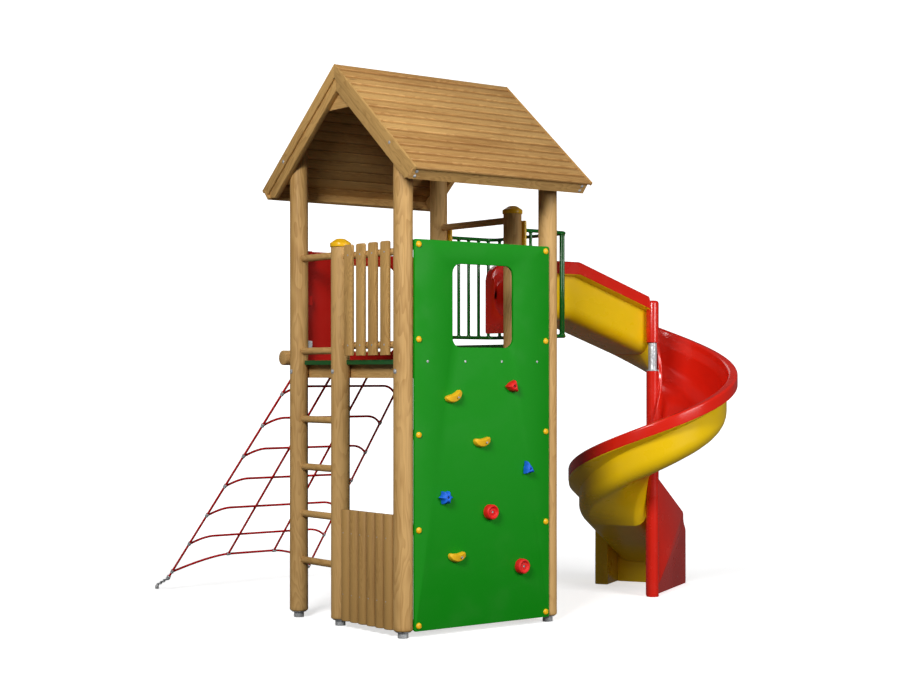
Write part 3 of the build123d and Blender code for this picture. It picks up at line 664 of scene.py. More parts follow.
@dataclass
class Roof:
    """Two slopes of lapped boards on rafters, with barge boards, fascias and bolts."""

    x0: float = -0.117
    x1: float = SIDE + 0.117
    board_end: float = SIDE + 0.140
    length: float = 1.105
    pitch: float = 0.0818
    board_t: float = 0.022
    lap: float = 0.011
    painted_lap_shade: float = 2.0
    tuck: float = 0.0004
    shoulder: float = 0.032
    groove: tuple[float, float] = (0.016, 0.004)
    strip_t: float = 0.012
    bolt_rise: float = 0.005
    bolt_r: float = 0.008
    bolt_s: float = 0.80
    bolt_in: float = 0.040
    eave_cut: float = 0.032
    barge_t: float = 0.020
    barge_depth: float = 0.064
    rafter_t: float = 0.037
    rafter_depth: float = 0.124
    fascia_t: float = 0.020
    fascia_depth: float = 0.092
    fascia_inset: float = 0.010

    def place(self, sign: int) -> Callable[[Grid, float], Grid]:
        """Carry (s down the slope, n below the boards' top) at some x to 3-D on one slope."""
        cos, sin = math.cos(ROOF_PITCH), math.sin(ROOF_PITCH)

        def carry(pairs: Grid, x: float) -> Grid:
            """Y is the ridge's plus sign (s cos - n sin), and Z the ridge's less s sin + n cos."""
            s, n = pairs[..., 0], pairs[..., 1]
            y, z = SIDE / 2 + sign * (s * cos - n * sin), RIDGE_Z - s * sin - n * cos
            return np.stack([np.full(s.shape, x), y, z], -1)

        return carry

    def mitre(self, n: float) -> float:
        """Where the ridge's upright plane meets a line n below the boards' top."""
        return n * math.tan(ROOF_PITCH)

    def boards(self, sign: int, name: str, node: str, seed: int) -> None:
        """Lay thirteen full boards and a half one, each thicker at its lower, rounded edge, with painted shade
        in its lap, at its nose and on its underside.
        """
        skin = Skin()
        rows = math.ceil(self.length / self.pitch)
        lower = self.length - (rows - 1 - np.arange(rows)) * self.pitch
        shade = tones(rows, seed)
        t, x0, x1 = self.board_t, self.x0 + self.barge_t, self.board_end - self.strip_t
        for row, low in enumerate(lower):
            if row:
                high = lower[row - 1]
                corners = [(high + self.tuck, self.lap), (high + self.shoulder, self.lap * 0.3), (low, 0.0),
                           (low, t - self.groove[1]), (low - self.groove[0], t), (high + self.tuck, t)]
                radii = [0.0008, 0.012, 0.0085, 0.003, 0.004, 0.003]
                dark = [1.0, 0.1, 0.4, 1.0, 0.0, 0.3]
            else:
                corners = [(0.0006, 0.0), (low, 0.0), (low, t), (self.mitre(t), t)]
                radii = [0.0008, 0.0085, 0.006, 0.003]
                dark = [0.0, 0.4, 0.9, 0.0]
            # Painted shade: each corner's dark weight darkens the board where the board above covers it, at
            # its nose and underneath, on top of the board's random tone.
            tone = shade[row] + self.painted_lap_shade * np.repeat(dark, 4)
            skin.plank(rounded(np.array(corners), radii, 4), self.place(sign), x0, x1, 0.0025, tone=tone)
        strip = np.array([(0.0, 0.0), (self.length, 0.0), (self.length, t), (self.mitre(t), t)])
        skin.plank(strip, self.place(sign), x1, self.board_end, 0.002, tone=shade[0])
        skin.build(name, Finishes.board, node=node, sharp=28.0)

    def timbers(self, sign: int, word: str) -> None:
        """Cut one slope's barge boards, rafters and fascia from their outlines, with eased edges."""
        run = Finishes.front_slope if sign < 0 else Finishes.back_slope
        end = self.length - self.fascia_inset
        stop = end - self.fascia_t
        depth, rafter, t = self.barge_depth, self.rafter_depth, self.board_t
        near = [(0.0, 0.0), (self.length, 0.0), (self.length, t), (stop, t), (stop, depth),
                (self.mitre(depth), depth)]
        far = [(self.mitre(t), t), (stop, t), (stop, depth), (self.mitre(depth), depth)]
        beam = [(self.mitre(t), t), (stop, t), (stop, rafter - self.eave_cut), (stop - self.eave_cut, rafter),
                (self.mitre(rafter), rafter)]
        inner0, inner1 = self.x0 + self.barge_t, self.x1 - self.barge_t
        pieces = ((f"barge_board_near_{word}", f"barge_near_{word}", near, self.x0 + self.bolt_rise, inner0),
                  (f"barge_board_far_{word}", f"barge_far_{word}", far, inner1, self.x1),
                  (f"rafter_timber_near_{word}", f"rafter_near_{word}", beam, inner0, inner0 + self.rafter_t),
                  (f"rafter_timber_far_{word}", f"rafter_far_{word}", beam, inner1 - self.rafter_t, inner1))
        for tone, (name, node, outline, low, high) in zip(tones(4, 31 + sign), pieces):
            skin = Skin()
            skin.plank(np.array(outline), self.place(sign), low, high, 0.0025, tone=tone)
            skin.build(name, run, node=node)
        skin = Skin()
        board = np.array([(stop, t), (end, t), (end, self.fascia_depth), (stop, self.fascia_depth)])
        skin.plank(board, self.place(sign), self.x0 + self.bolt_rise, self.x1, 0.0025)
        skin.build(f"fascia_board_{word}", Finishes.board, node=f"fascia_{word}")

    def bolts(self) -> None:
        """Set the bolt heads that show on the barge boards and at the fascias' ends."""
        skin = Skin()
        for sign in (-1, 1):
            carry = self.place(sign)
            for x, n, out in ((self.x0 + self.bolt_rise, 0.040, -1), (self.x1, 0.044, 1)):
                skin.bolt(carry(np.array([self.bolt_s, n]), x), (out, 0, 0), self.bolt_r, self.bolt_rise)
            end = self.length - self.fascia_inset
            out = (0.0, sign * math.cos(ROOF_PITCH), -math.sin(ROOF_PITCH))
            for x in (self.x0 + self.bolt_in, self.x1 - self.bolt_in):
                for n in (0.040, 0.072):
                    skin.bolt(carry(np.array([end, n]), x), out, self.bolt_r, self.bolt_rise)
        skin.build("roof_bolts", Finishes.zinc)

    def make(self) -> None:
        """Build the whole roof."""
        for sign, word, seed in ((-1, "front", 5), (1, "back", 6)):
            self.boards(sign, f"lapped_boards_{word}", f"roof_boards_{word}", seed)
            self.timbers(sign, word)
        self.bolts()


@dataclass
class Posts:
    """Six turned posts, two of them under yellow caps."""

    corner: tuple[tuple[str, float, float], ...] = (
        ("a", 0.0, SIDE), ("b", 0.0, 0.0), ("c", SIDE, 0.0), ("d", SIDE, SIDE))
    short: tuple[tuple[str, float, float, float], ...] = (
        ("e", 0.0, POST_E_Y, 2.386), ("f", SIDE, POST_F_Y, 2.635))
    foot_z: float = 0.042
    chamfer: float = 0.008
    cap_lip: float = 0.005
    wander: float = 0.0004

    def shaft(self, name: str, x: float, y: float, top: float | None, seed: int) -> None:
        """Turn one post: a circle whose radius wanders by a fraction of a millimetre with height and angle.

        Args:
            name: The post's letter.
            x: Its axis.
            y: Its axis.
            top: Height of its head, or None where the roof's underside cuts it.
            seed: Fixes the small wander.
        """
        angle = circle(56)
        share = np.concatenate([[0.0, 0.0015, 0.0035], np.linspace(0.01, 1, 40)])[:, None]
        wide = POST_RADIUS - self.chamfer * np.array([1.0, 0.35, 0.0] + [0.0] * 40)[:, None]
        phase = np.random.default_rng(seed).uniform(0, math.tau, 3)
        wave = np.sin(2 * angle + 3 * share + phase[0]) + np.sin(3 * angle - 7 * share + phase[1])
        radius = wide + np.where(share > 0.004, self.wander * (wave - 2), 0.0)
        px, py = x + radius * np.cos(angle), y + radius * np.sin(angle)
        if top:
            head = np.full(angle.shape, top)
        else:
            under = RIDGE_Z - Roof.board_t / math.cos(ROOF_PITCH) - 0.0005
            head = under - np.abs(py[-1] - SIDE / 2) * math.tan(ROOF_PITCH)
        skin = Skin()
        pz = self.foot_z + share * (head - self.foot_z)
        skin.sheet(np.stack([px, py, pz], -1), tone=float(np.sin(seed * 2.4) * 0.3))
        skin.build(f"turned_post_{name}", Finishes.post, node=f"post_{name}", sharp=40.0)

    def cap(self, name: str, x: float, y: float, top: float) -> None:
        """Mould one cap: an upright band, then eight soft facets, radius r (1 - 0.05 |sin 4a|)."""
        band = POST_RADIUS + self.cap_lip
        profile = np.array([
            (0.060, -0.018), (0.0652, -0.018), (band + 0.001, -0.0165), (band + 0.001, 0.0055),
            (0.0645, 0.0085), (0.0600, 0.0115), (0.0420, 0.0235), (0.0300, 0.0310), (0.0220, 0.0335),
            (0.0100, 0.0342), (0.0003, 0.0342)])
        angle = circle(64)[None, :]
        facet = 1 - 0.05 * np.abs(np.sin(4 * angle)) * np.clip((profile[:, 1:] - 0.006) / 0.004, 0, 1)
        radius = profile[:, :1] * facet
        grid = np.stack([x + radius * np.cos(angle), y + radius * np.sin(angle),
                         np.broadcast_to(top + profile[:, 1:], radius.shape)], -1)
        skin = Skin()
        skin.sheet(grid)
        skin.build(f"moulded_cap_{name}", Finishes.cap_yellow, node=f"cap_{name}", sharp=50.0)

    def make(self) -> None:
        """Build posts and caps."""
        for seed, (name, x, y) in enumerate(self.corner):
            self.shaft(name, x, y, None, seed)
        for seed, (name, x, y, top) in enumerate(self.short):
            self.shaft(name, x, y, top, seed + 10)
            self.cap(name, x, y, top)


@dataclass
class LadderSide:
    """Round rungs, the slat barrier with its rails and the low palisade of half-round stakes."""

    rod: float = 0.0225
    rungs: tuple[float, ...] = (0.374, 0.674, 0.976, 1.282, 1.720, 2.318)
    slat_rails: tuple[float, ...] = (1.749, 2.307)
    stake_rails: tuple[float, ...] = (0.210, 0.590)
    slat_y: float = 0.0935
    slat_step: float = 0.128
    slat_w: float = 0.085
    slat_t: float = 0.020
    slat_z: tuple[float, float] = (1.686, 2.373)
    stake_y: float = 0.0565
    stake_step: float = 0.0903
    stake_w: float = 0.088
    stake_t: float = 0.034
    painted_groove_shade: float = 3.4
    stake_z: tuple[float, float] = (0.043, 0.733)

    def bars(self, name: str, node: str, heights: Sequence[float], low: float, high: float) -> None:
        """Run round bars along Y between two posts' axes at some heights."""
        skin = Skin()
        for z, tone in zip(heights, tones(len(heights), 17)):
            skin.rod((0, low, z), (0, high, z), self.rod, tone=tone)
        skin.build(name, Finishes.crosswise, node=node)

    def slats(self) -> None:
        """Four slats with round-cornered heads, and the two screws in each at every rail."""
        skin = Skin()
        face = -self.rod - self.slat_t
        z0, z1 = self.slat_z
        for i, tone in enumerate(tones(4, 23)):
            y0 = self.slat_y + i * self.slat_step
            outline = rounded(oblong(y0, y0 + self.slat_w, z0, z1), [0.003, 0.003, 0.014, 0.014])
            skin.plank(outline, upright, face, -self.rod, tone=tone)
            for z in self.slat_rails:
                skin.bolt((face, y0 + self.slat_w / 2, z), (-1, 0, 0), 0.0045, 0.002, finish=1)
        skin.build("slats_with_screws", Finishes.slat, Finishes.zinc, node="barrier_slats")

    def stakes(self) -> None:
        """Six half-round stakes: X is the rail's face less t sqrt(1 - (y / half)^2), heads and feet eased,
        their edges darkened by painted shade.
        """
        skin = Skin()
        z0, z1 = self.stake_z
        half = self.stake_w / 2
        angle = np.linspace(0, math.pi, 22)
        stations = np.array([(z0, 0.90), (z0 + 0.002, 0.97), (z0 + 0.006, 1.0),
                             (z1 - 0.006, 1.0), (z1 - 0.002, 0.97), (z1, 0.90)])
        for i, tone in enumerate(tones(6, 29)):
            middle = self.stake_y + i * self.stake_step + half
            scale = stations[:, 1:]
            x = np.broadcast_to(-self.rod - scale * self.stake_t * np.sin(angle) ** 0.85, (6, 22))
            y = middle + scale * (half - 0.0008) * np.cos(angle)
            z = np.broadcast_to(stations[:, :1], x.shape)
            # Painted shade, darkest at each stake's edges where it meets its neighbours.
            groove = self.painted_groove_shade * (1 - np.sin(angle)) ** 2.2
            skin.sheet(np.stack([x, y, z], -1), tone=tone + groove - 0.6)
            for rail in self.stake_rails:
                at = (-self.rod - self.stake_t + 0.0006, middle, rail)
                skin.bolt(at, (-1, 0, 0), 0.0035, 0.0015, finish=1)
        skin.build("half_round_stakes", Finishes.stake, Finishes.zinc, node="palisade_stakes", sharp=40.0)

    def make(self) -> None:
        """Build the whole side."""
        self.bars("turned_rungs", "ladder_rungs", self.rungs, POST_E_Y, SIDE)
        self.bars("round_slat_rails", "slat_rails", self.slat_rails, 0.0, POST_E_Y)
        self.bars("round_stake_rails", "palisade_rails", self.stake_rails, 0.0, POST_E_Y)
        self.slats()
        self.stakes()


@dataclass
class WallPanel:
    """A plastic sheet with round corners and one round-cornered opening."""

    name: str
    node: str
    y: float
    z: tuple[float, float]
    hole_x: tuple[float, float]
    hole_z: tuple[float, float]
    x: tuple[float, float] = (0.040, 1.098)
    thick: float = 0.018
    corner: float = 0.012
    hole_corner: float = 0.060
    edge: float = 0.003

    def outline(self, x: tuple[float, float], z: tuple[float, float], radius: float, shift: float) -> Grid:
        """A round-cornered rectangle with a fixed number of points on each side and arc.

        Args:
            x: Its sides.
            z: Its bottom and top.
            radius: Its corners' radius.
            shift: How far the sheet's eased edge moves the line outwards.
        """
        corners = oblong(x[0] - shift, x[1] + shift, z[0] - shift, z[1] + shift)
        bends = rounded(corners, [radius + shift] * 4, 10).reshape(4, 10, 2)
        sides = np.linspace(bends[:, -1], np.roll(bends[:, 0], -1, 0), 8)[1:-1].transpose(1, 0, 2)
        return np.concatenate([bends, sides], 1).reshape(-1, 2)

    def make(self, finish: Plastic) -> None:
        """A ring of stations: front face from opening to rim, round the rim, back face, and home."""
        e, t = self.edge, self.thick
        rim = [(e, 0.0), (0.3 * e, 0.3 * e), (0.0, e), (0.0, t - e), (0.3 * e, t - 0.3 * e), (e, t)]
        steps = [(True, *rim[0])] + [(False, *step) for step in rim] + [(True, *step) for step in rim[:0:-1]]
        rings = []
        for inside, ease, depth in steps:
            if inside:
                line = self.outline(self.hole_x, self.hole_z, self.hole_corner, ease)
            else:
                line = self.outline(self.x, self.z, self.corner, -ease)
            rings.append(np.stack([line[:, 0], np.full(len(line), self.y + depth), line[:, 1]], -1))
        skin = Skin()
        skin.sheet(np.stack(rings), wrap_rows=True)
        skin.build(self.name, finish, node=self.node)


@dataclass
class Walls:
    """The climbing wall and the portal, their domed bolt caps and the deck's bolts."""

    bolt_x: tuple[float, float] = (0.069, 1.069)
    wall_z: tuple[float, ...] = (0.073, 0.642, 1.210, 1.780, 2.347)
    portal_z: tuple[float, ...] = (1.758, 2.050, 2.342)
    portal_y: float = 1.185
    portal_face: float = 1.203
    cap_radius: float = 0.019
    cap_height: float = 0.011
    joist_x: tuple[float, ...] = (0.136, 0.424, 0.711, 0.998)
    joist_z: float = 1.649
    fascia_z: float = 1.589

    def caps(self) -> None:
        """Domed snap caps: a rim, then a low dome with a shallow step near its middle."""
        skin = Skin()
        r, h = self.cap_radius, self.cap_height
        profile = [(0, -0.0004), (r, -0.0004), (r, 0.25 * h), (0.97 * r, 0.42 * h), (0.86 * r, 0.68 * h),
                   (0.66 * r, 0.87 * h), (0.40 * r, 0.97 * h), (0.37 * r, 0.91 * h), (0.2 * r, 0.98 * h),
                   (0, h)]
        for x in self.bolt_x:
            for z in self.wall_z:
                skin.lathe(profile, (x, WALL_FACE_Y, z), (0, -1, 0), 28)
            for z in self.portal_z:
                skin.lathe(profile, (x, self.portal_face, z), (0, 1, 0), 28)
        skin.build("domed_bolt_caps", Finishes.cap_yellow, node="bolt_caps", sharp=45.0)

    def make(self) -> None:
        """Build both sheets, the caps on them and the deck's bolts."""
        WallPanel("green_climbing_sheet", "climbing_wall", WALL_FACE_Y, (0.040, 2.378), (0.327, 0.803),
                  (1.735, 2.241)).make(Finishes.wall_green)
        WallPanel("red_portal_sheet", "portal_panel", self.portal_y, (1.600, 2.373), (0.330, 0.810),
                  (1.718, 2.295)).make(Finishes.portal_red)
        self.caps()
        skin = Skin()
        for x in self.joist_x:
            skin.bolt((x, WALL_FACE_Y, self.joist_z), (0, -1, 0), 0.006, 0.004)
        for x, out, middle in ((-POST_RADIUS, -1, POST_E_Y), (SIDE + POST_RADIUS, 1, POST_F_Y)):
            for y in (0.0, middle, SIDE):
                skin.bolt((x, y, self.fascia_z), (out, 0, 0))
        skin.build("deck_bolts", Finishes.zinc)


@dataclass
class Holds:
    """Eight moulded climbing holds and their sunk bolts."""

    beans: tuple[tuple[float, float, float], ...] = (
        (0.327, 1.436, 22.0), (0.546, 1.159, 6.0), (0.352, 0.469, 3.0))
    discs: tuple[tuple[float, float], ...] = ((0.612, 0.726), (0.863, 0.376))
    lobed: tuple[float, float] = (0.781, 1.496)
    star: tuple[float, float] = (0.261, 0.830)
    fin: tuple[float, float] = (0.910, 0.981)
    ring: tuple[tuple[float, float], ...] = (
        (1.0, 0.0), (1.0, 0.55), (0.97, 0.72), (0.90, 0.86), (0.80, 0.91),
        (0.70, 0.88), (0.63, 0.74), (0.52, 0.66), (0.40, 0.67), (0.30, 0.74))
    dome: tuple[tuple[float, float], ...] = (
        (0.97, 0.0), (1.0, 0.12), (0.99, 0.35), (0.93, 0.6), (0.82, 0.8),
        (0.66, 0.93), (0.5, 0.99), (0.36, 0.97), (0.26, 0.93))
    height: float = 0.046

    def bean(self, skin: Skin, x: float, z: float, tilt: float) -> None:
        """A ledge along an arc: half-width and height both shrink as sqrt(1 - s^2) towards its ends.

        Args:
            skin: What the hold is added to.
            x: The arc's lowest point on the wall.
            z: The same point's height.
            tilt: The hold's turn in degrees.
        """
        s = np.sin(np.linspace(-math.pi / 2, math.pi / 2, 30))[:, None]
        taper = np.sqrt(np.clip(1 - s ** 2 * 0.985, 0, 1))
        angle = np.radians(270 + s * 54)
        turn = np.linspace(0, math.pi, 20)[None, :]
        wide, high = 0.027 * taper, self.height * taper ** 0.5
        across = wide * np.cos(turn)
        rise = high * np.minimum(1.0, 1.35 * np.sin(turn)) * (1 - 0.22 * np.cos(turn)) / 1.22
        radius = 0.070 + across
        u, w = radius * np.cos(angle), 0.062 + radius * np.sin(angle)
        c, d = math.cos(math.radians(tilt)), math.sin(math.radians(tilt))
        skin.sheet(np.stack([x + u * c - w * d, WALL_FACE_Y - rise, z + u * d + w * c], -1))

    def knob(self, skin: Skin, x: float, z: float, radius: float, profile: Sequence[tuple[float, float]],
             points: Sequence[tuple[float, float]] = ()) -> None:
        """A hold round its bolt bore, narrowed on its way out: r (1 + sum of amount e^(-|a - at| / 0.24)).

        Args:
            skin: What the hold is added to.
            x: Its bolt.
            z: Its bolt's height.
            radius: Its radius between the points.
            profile: Radius and height from the wall to the bore, both as shares.
            points: Where in degrees it runs out to a point, and by how much of the radius.
        """
        angle = circle(96)[None, :]
        out, up = np.array(profile)[:, :1], np.array(profile)[:, 1:]
        reach = np.zeros_like(angle)
        for degrees, amount in points:
            away = np.abs((angle - math.radians(degrees) + math.pi) % math.tau - math.pi)
            reach = reach + amount * np.exp(-np.sqrt(away ** 2 + 0.003) / 0.24)
        spread = radius * out * (1 + reach * np.clip((out - 0.2) / 0.6, 0, 1))
        bore = np.array([(0.0085, up[-1, 0] - 0.02), (0.0080, 0.62), (0.0003, 0.60)])
        spread = np.concatenate([spread, np.broadcast_to(bore[:, :1], (3, 96))])
        up = np.concatenate([up, bore[:, 1:]])
        y = np.broadcast_to(WALL_FACE_Y - self.height * up, spread.shape)
        skin.sheet(np.stack([x + spread * np.cos(angle), y, z + spread * np.sin(angle)], -1))

    def make(self) -> None:
        """Mould the holds, one object for each colour."""
        yellow, red, blue, bolts = Skin(), Skin(), Skin(), Skin()
        for x, z, tilt in self.beans:
            self.bean(yellow, x, z, tilt)
        for x, z in self.discs:
            self.knob(red, x, z, 0.0470, self.ring)
        self.knob(red, *self.lobed, 0.0300, self.dome, ((180, 0.62), (62, 0.62), (-42, 0.9)))
        self.knob(blue, *self.star, 0.0270, self.dome, [(60.0 * k, 0.80) for k in range(6)])
        self.knob(blue, *self.fin, 0.0240, self.dome, ((104, 1.45), (-28, 1.2), (-130, 0.8)))
        head = [(0, 0), (0.0062, 0), (0.0062, 0.006), (0.0050, 0.007), (0.003, 0.007), (0.003, 0.003),
                (0, 0.003)]
        for x, z in (*self.discs, self.lobed, self.star, self.fin):
            bolts.lathe(head, (x, WALL_FACE_Y - 0.026, z), (0, -1, 0), 12)
        flat = [(0, 0), (0.0062, 0), (0.0062, 0.006), (0.003, 0.006), (0.003, 0.002), (0, 0.002)]
        for x, z, _ in self.beans:
            at = (x + 0.012, WALL_FACE_Y - self.height * 0.90, z - 0.004)
            bolts.lathe(flat, at, (0, -1, 0), 12)
        for skin, word, finish in ((yellow, "yellow", Finishes.hold_yellow), (red, "red", Finishes.hold_red),
                                   (blue, "blue", Finishes.hold_blue)):
            skin.build(f"moulded_holds_{word}", finish, node=f"holds_{word}", sharp=60.0)
        bolts.build("hold_bolts", Finishes.zinc)


@dataclass
class Net:
    """The log beam, the rope net under it, its ferrules and clamps, and the chains to the ground."""

    log_radius: float = 0.048
    log_y: float = 1.245
    log_z: float = 1.678
    log_out: float = 0.060
    rope_radius: float = 0.008
    half_top: float = 0.444
    spread: float = 0.0221
    top: tuple[float, float] = (1.296, 1.656)
    step: tuple[float, float] = (0.212, 0.2157)
    rows: int = 7
    foot: float = 7.25
    lift: float = 0.23
    flat: float = 0.72
    low_lift: float = 0.51
    chain_y: float = 2.993
    chain_out: float = 0.038
    chain_z: float = 0.026
    wire: float = 0.0035
    link: float = 0.026
    link_end: float = 0.007
    link_half: float = 0.0085

    def point(self, t: Grid | float, across: Grid | float) -> Grid:
        """A point of the net's plane, t rows down from the beam and across from -1 to 1."""
        t, across = np.broadcast_arrays(np.asarray(t, float), np.asarray(across, float))
        x = SIDE / 2 + across * (self.half_top + self.spread * t)
        return np.stack([x, self.top[0] + self.step[0] * t, self.top[1] - self.step[1] * t], -1)

    def ropes(self) -> None:
        """Side and inner ropes run straight; a cross rope leaves its ferrule upwards and bends level.

        A cross rope's row is t(a) = row - lift (1 - ((|a| - flat) / (1 - flat))^2) beyond |a| = flat, and
        row - lift between; the bottom one sags by its own curve between the inner ropes' feet.
        """
        skin = Skin()
        t = np.linspace(-0.03, self.foot, 60)
        for across in (-1.0, 1.0):
            skin.tube(self.point(t, across), self.rope_radius)
        t = np.linspace(-0.03, self.rows - self.low_lift, 60)
        for across in (-THIRD, THIRD):
            skin.tube(self.point(t, across), self.rope_radius)
        a = np.sin(np.linspace(-math.pi / 2, math.pi / 2, 61))
        out = np.clip((np.abs(a) - self.flat) / (1 - self.flat), 0, 1)
        for row in range(1, self.rows + 1):
            rise = self.lift * (1 - out ** 2)
            if row == self.rows:
                rise = self.low_lift * (1 - np.clip((np.abs(a) - THIRD) / (1 - THIRD), 0, 1) ** 1.6)
            skin.tube(self.point(row - rise, a * 0.985), self.rope_radius)
        skin.build("rope_net", Finishes.rope, node="net_ropes", sharp=60.0)

    def clamp(self, skin: Skin, at: Grid, along: Grid, long: float = 0.030, radius: float = 0.0125) -> None:
        """A pressed ferrule: a barrel with two grooves and drawn-in ends."""
        h = long / 2
        end = [(0, h), (0.72, h), (0.92, 0.9 * h), (1, 0.74 * h), (1, 0.3 * h), (0.9, 0.22 * h),
               (0.9, 0.1 * h)]
        profile = [(r, -z) for r, z in end] + [(1, 0)] + end[::-1]
        skin.lathe([(r * radius, z) for r, z in profile], at, along, 16)

    def metal(self) -> None:
        """Ferrules at every joint, clamps at the ropes' feet, and chains down to the ground anchors."""
        skin = Skin()
        down = unit(self.point(1.0, 1.0) - self.point(0.0, 1.0))
        for across in (-1.0, 1.0):
            for row in range(1, self.rows + 1):
                self.clamp(skin, self.point(row, across), down)
            foot = self.point(self.foot, across)
            anchor = np.array([SIDE / 2 + across * (SIDE / 2 + self.chain_out), self.chain_y, self.chain_z])
            self.clamp(skin, foot - down * 0.010, down, 0.034, 0.0145)
            self.chain(skin, foot, anchor)
            skin.lathe([(0, 0), (0.0125, 0), (0.013, 0.004), (0.013, 0.020), (0.011, 0.0255), (0, 0.026)],
                       (anchor[0], anchor[1], 0.0), (0, 0, 1), 24)
        side = np.array([1.0, 0.0, 0.0])
        for across in (-THIRD, THIRD):
            self.clamp(skin, self.point(self.rows - self.low_lift, across), side)
        skin.build("ferrules_and_chains", Finishes.zinc, node="net_chains", sharp=40.0)

    def chain(self, skin: Skin, start: Grid, end: Grid) -> None:
        """Oval links in turn: two half rings a straight piece apart, every other one turned by a quarter."""
        line = end - start
        axis = unit(line)
        count = max(3, round(float(np.linalg.norm(line)) / self.link))
        pitch = np.linalg.norm(line) / count
        across, up = side_axes(axis)
        angle = np.linspace(0, math.tau, 24, endpoint=False)[:, None]
        for i in range(count):
            wide = across if i % 2 else up
            middle = start + line * (i + 0.5) / count
            long = np.sign(np.cos(angle)) * (pitch / 2 - self.link_end)
            long = long + np.cos(angle) * (self.link_end + self.wire)
            path = middle + long * axis + np.sin(angle) * self.link_half * wide
            skin.tube(path, self.wire, 8, closed=True)

    def beam(self) -> None:
        """The log: a turned bar with eased ends, and the turned socket of each rope on it."""
        skin = Skin()
        skin.rod((-self.log_out, self.log_y, self.log_z), (SIDE + self.log_out, self.log_y, self.log_z),
                 self.log_radius, 0.006, 48)
        skin.build("turned_log", Finishes.lengthwise, node="net_beam")
        skin = Skin()
        out = unit(np.array([0.0, 0.72, -0.69]))
        for across in (-1.0, -THIRD, THIRD, 1.0):
            x = float(self.point(0.0, across)[0])
            at = np.array([x, self.log_y, self.log_z]) + out * (self.log_radius - 0.001)
            skin.lathe([(0, 0), (0.017, 0), (0.0175, 0.002), (0.016, 0.004), (0.0125, 0.005), (0.012, 0.020),
                        (0.0105, 0.022), (0, 0.022)], at, out, 24)
        skin.build("rope_sockets", Finishes.zinc)

    def make(self) -> None:
        """Build beam, ropes and metal."""
        self.beam()
        self.ropes()
        self.metal()


@dataclass
class Guard:
    """The cage of green tube round the slide's start, its end boards and the entrance bar."""

    face: float = 1.215
    far_x: float = 1.620
    y: tuple[float, float] = (POST_F_Y, 1.136)
    top_z: float = 2.516
    low_z: float = 1.826
    corner: float = 0.057
    radius: float = 0.012
    near_bars: tuple[float, ...] = (1.296, 1.385, 1.473, 1.563)
    far_bars: tuple[float, ...] = (1.229, 1.313, 1.401, 1.490, 1.578)
    outer_bars: tuple[float, ...] = (0.392, 1.062)
    board_w: float = 0.110
    board_t: float = 0.015
    board_z: tuple[float, float] = (1.700, 2.575)
    bar_z: float = 2.577
    bar_r: float = LadderSide.rod

    def cage(self) -> None:
        """Two bent rails joined by bars, each bar with a small weld bead at both ends."""
        skin = Skin()
        y0, y1 = self.y
        for z in (self.top_z, self.low_z):
            line = [(self.face, y0, z), (self.far_x, y0, z), (self.far_x, y1, z), (self.face, y1, z)]
            skin.tube(bent(line, self.corner), self.radius, 20)
        places = [(x, y0) for x in self.near_bars] + [(x, y1) for x in self.far_bars]
        places += [(self.far_x, y) for y in self.outer_bars]
        bead = [(0, 0), (0.0145, 0.0), (0.0142, 0.004), (0.0125, 0.0065), (0, 0.0065)]
        for x, y in places:
            skin.rod((x, y, self.low_z), (x, y, self.top_z), self.radius - 0.001, 0.001, 20)
            skin.lathe(bead, (x, y, self.low_z + self.radius * 0.8), (0, 0, 1), 20)
            skin.lathe(bead, (x, y, self.top_z - self.radius * 0.8), (0, 0, -1), 20)
        foot = [(0, 0), (0.030, 0), (0.030, 0.003), (0.028, 0.004), (0, 0.004)]
        for y in self.y:
            for z in (self.top_z, self.low_z):
                skin.lathe(foot, (self.face - 0.0004, y, z), (1, 0, 0), 24)
        skin.build("tube_cage", Finishes.tube_green, node="guard_cage", sharp=40.0)

    def boards(self) -> None:
        """Two yellow sheets on the posts, corners rounded, that carry the cage."""
        skin = Skin()
        x, half = SIDE + POST_RADIUS, self.board_w / 2
        for y in self.y:
            outline = rounded(oblong(y - half, y + half, *self.board_z), [0.010] * 4)
            skin.plank(outline, upright, x, x + self.board_t, 0.002)
        skin.build("yellow_end_sheets", Finishes.board_yellow, node="guard_end_boards")

    def make(self) -> None:
        """Build cage, boards and bar."""
        self.cage()
        self.boards()
        skin = Skin()
        skin.rod((SIDE, POST_F_Y, self.bar_z), (SIDE, SIDE, self.bar_z), self.bar_r)
        skin.build("round_entrance_bar", Finishes.crosswise, node="entrance_bar")


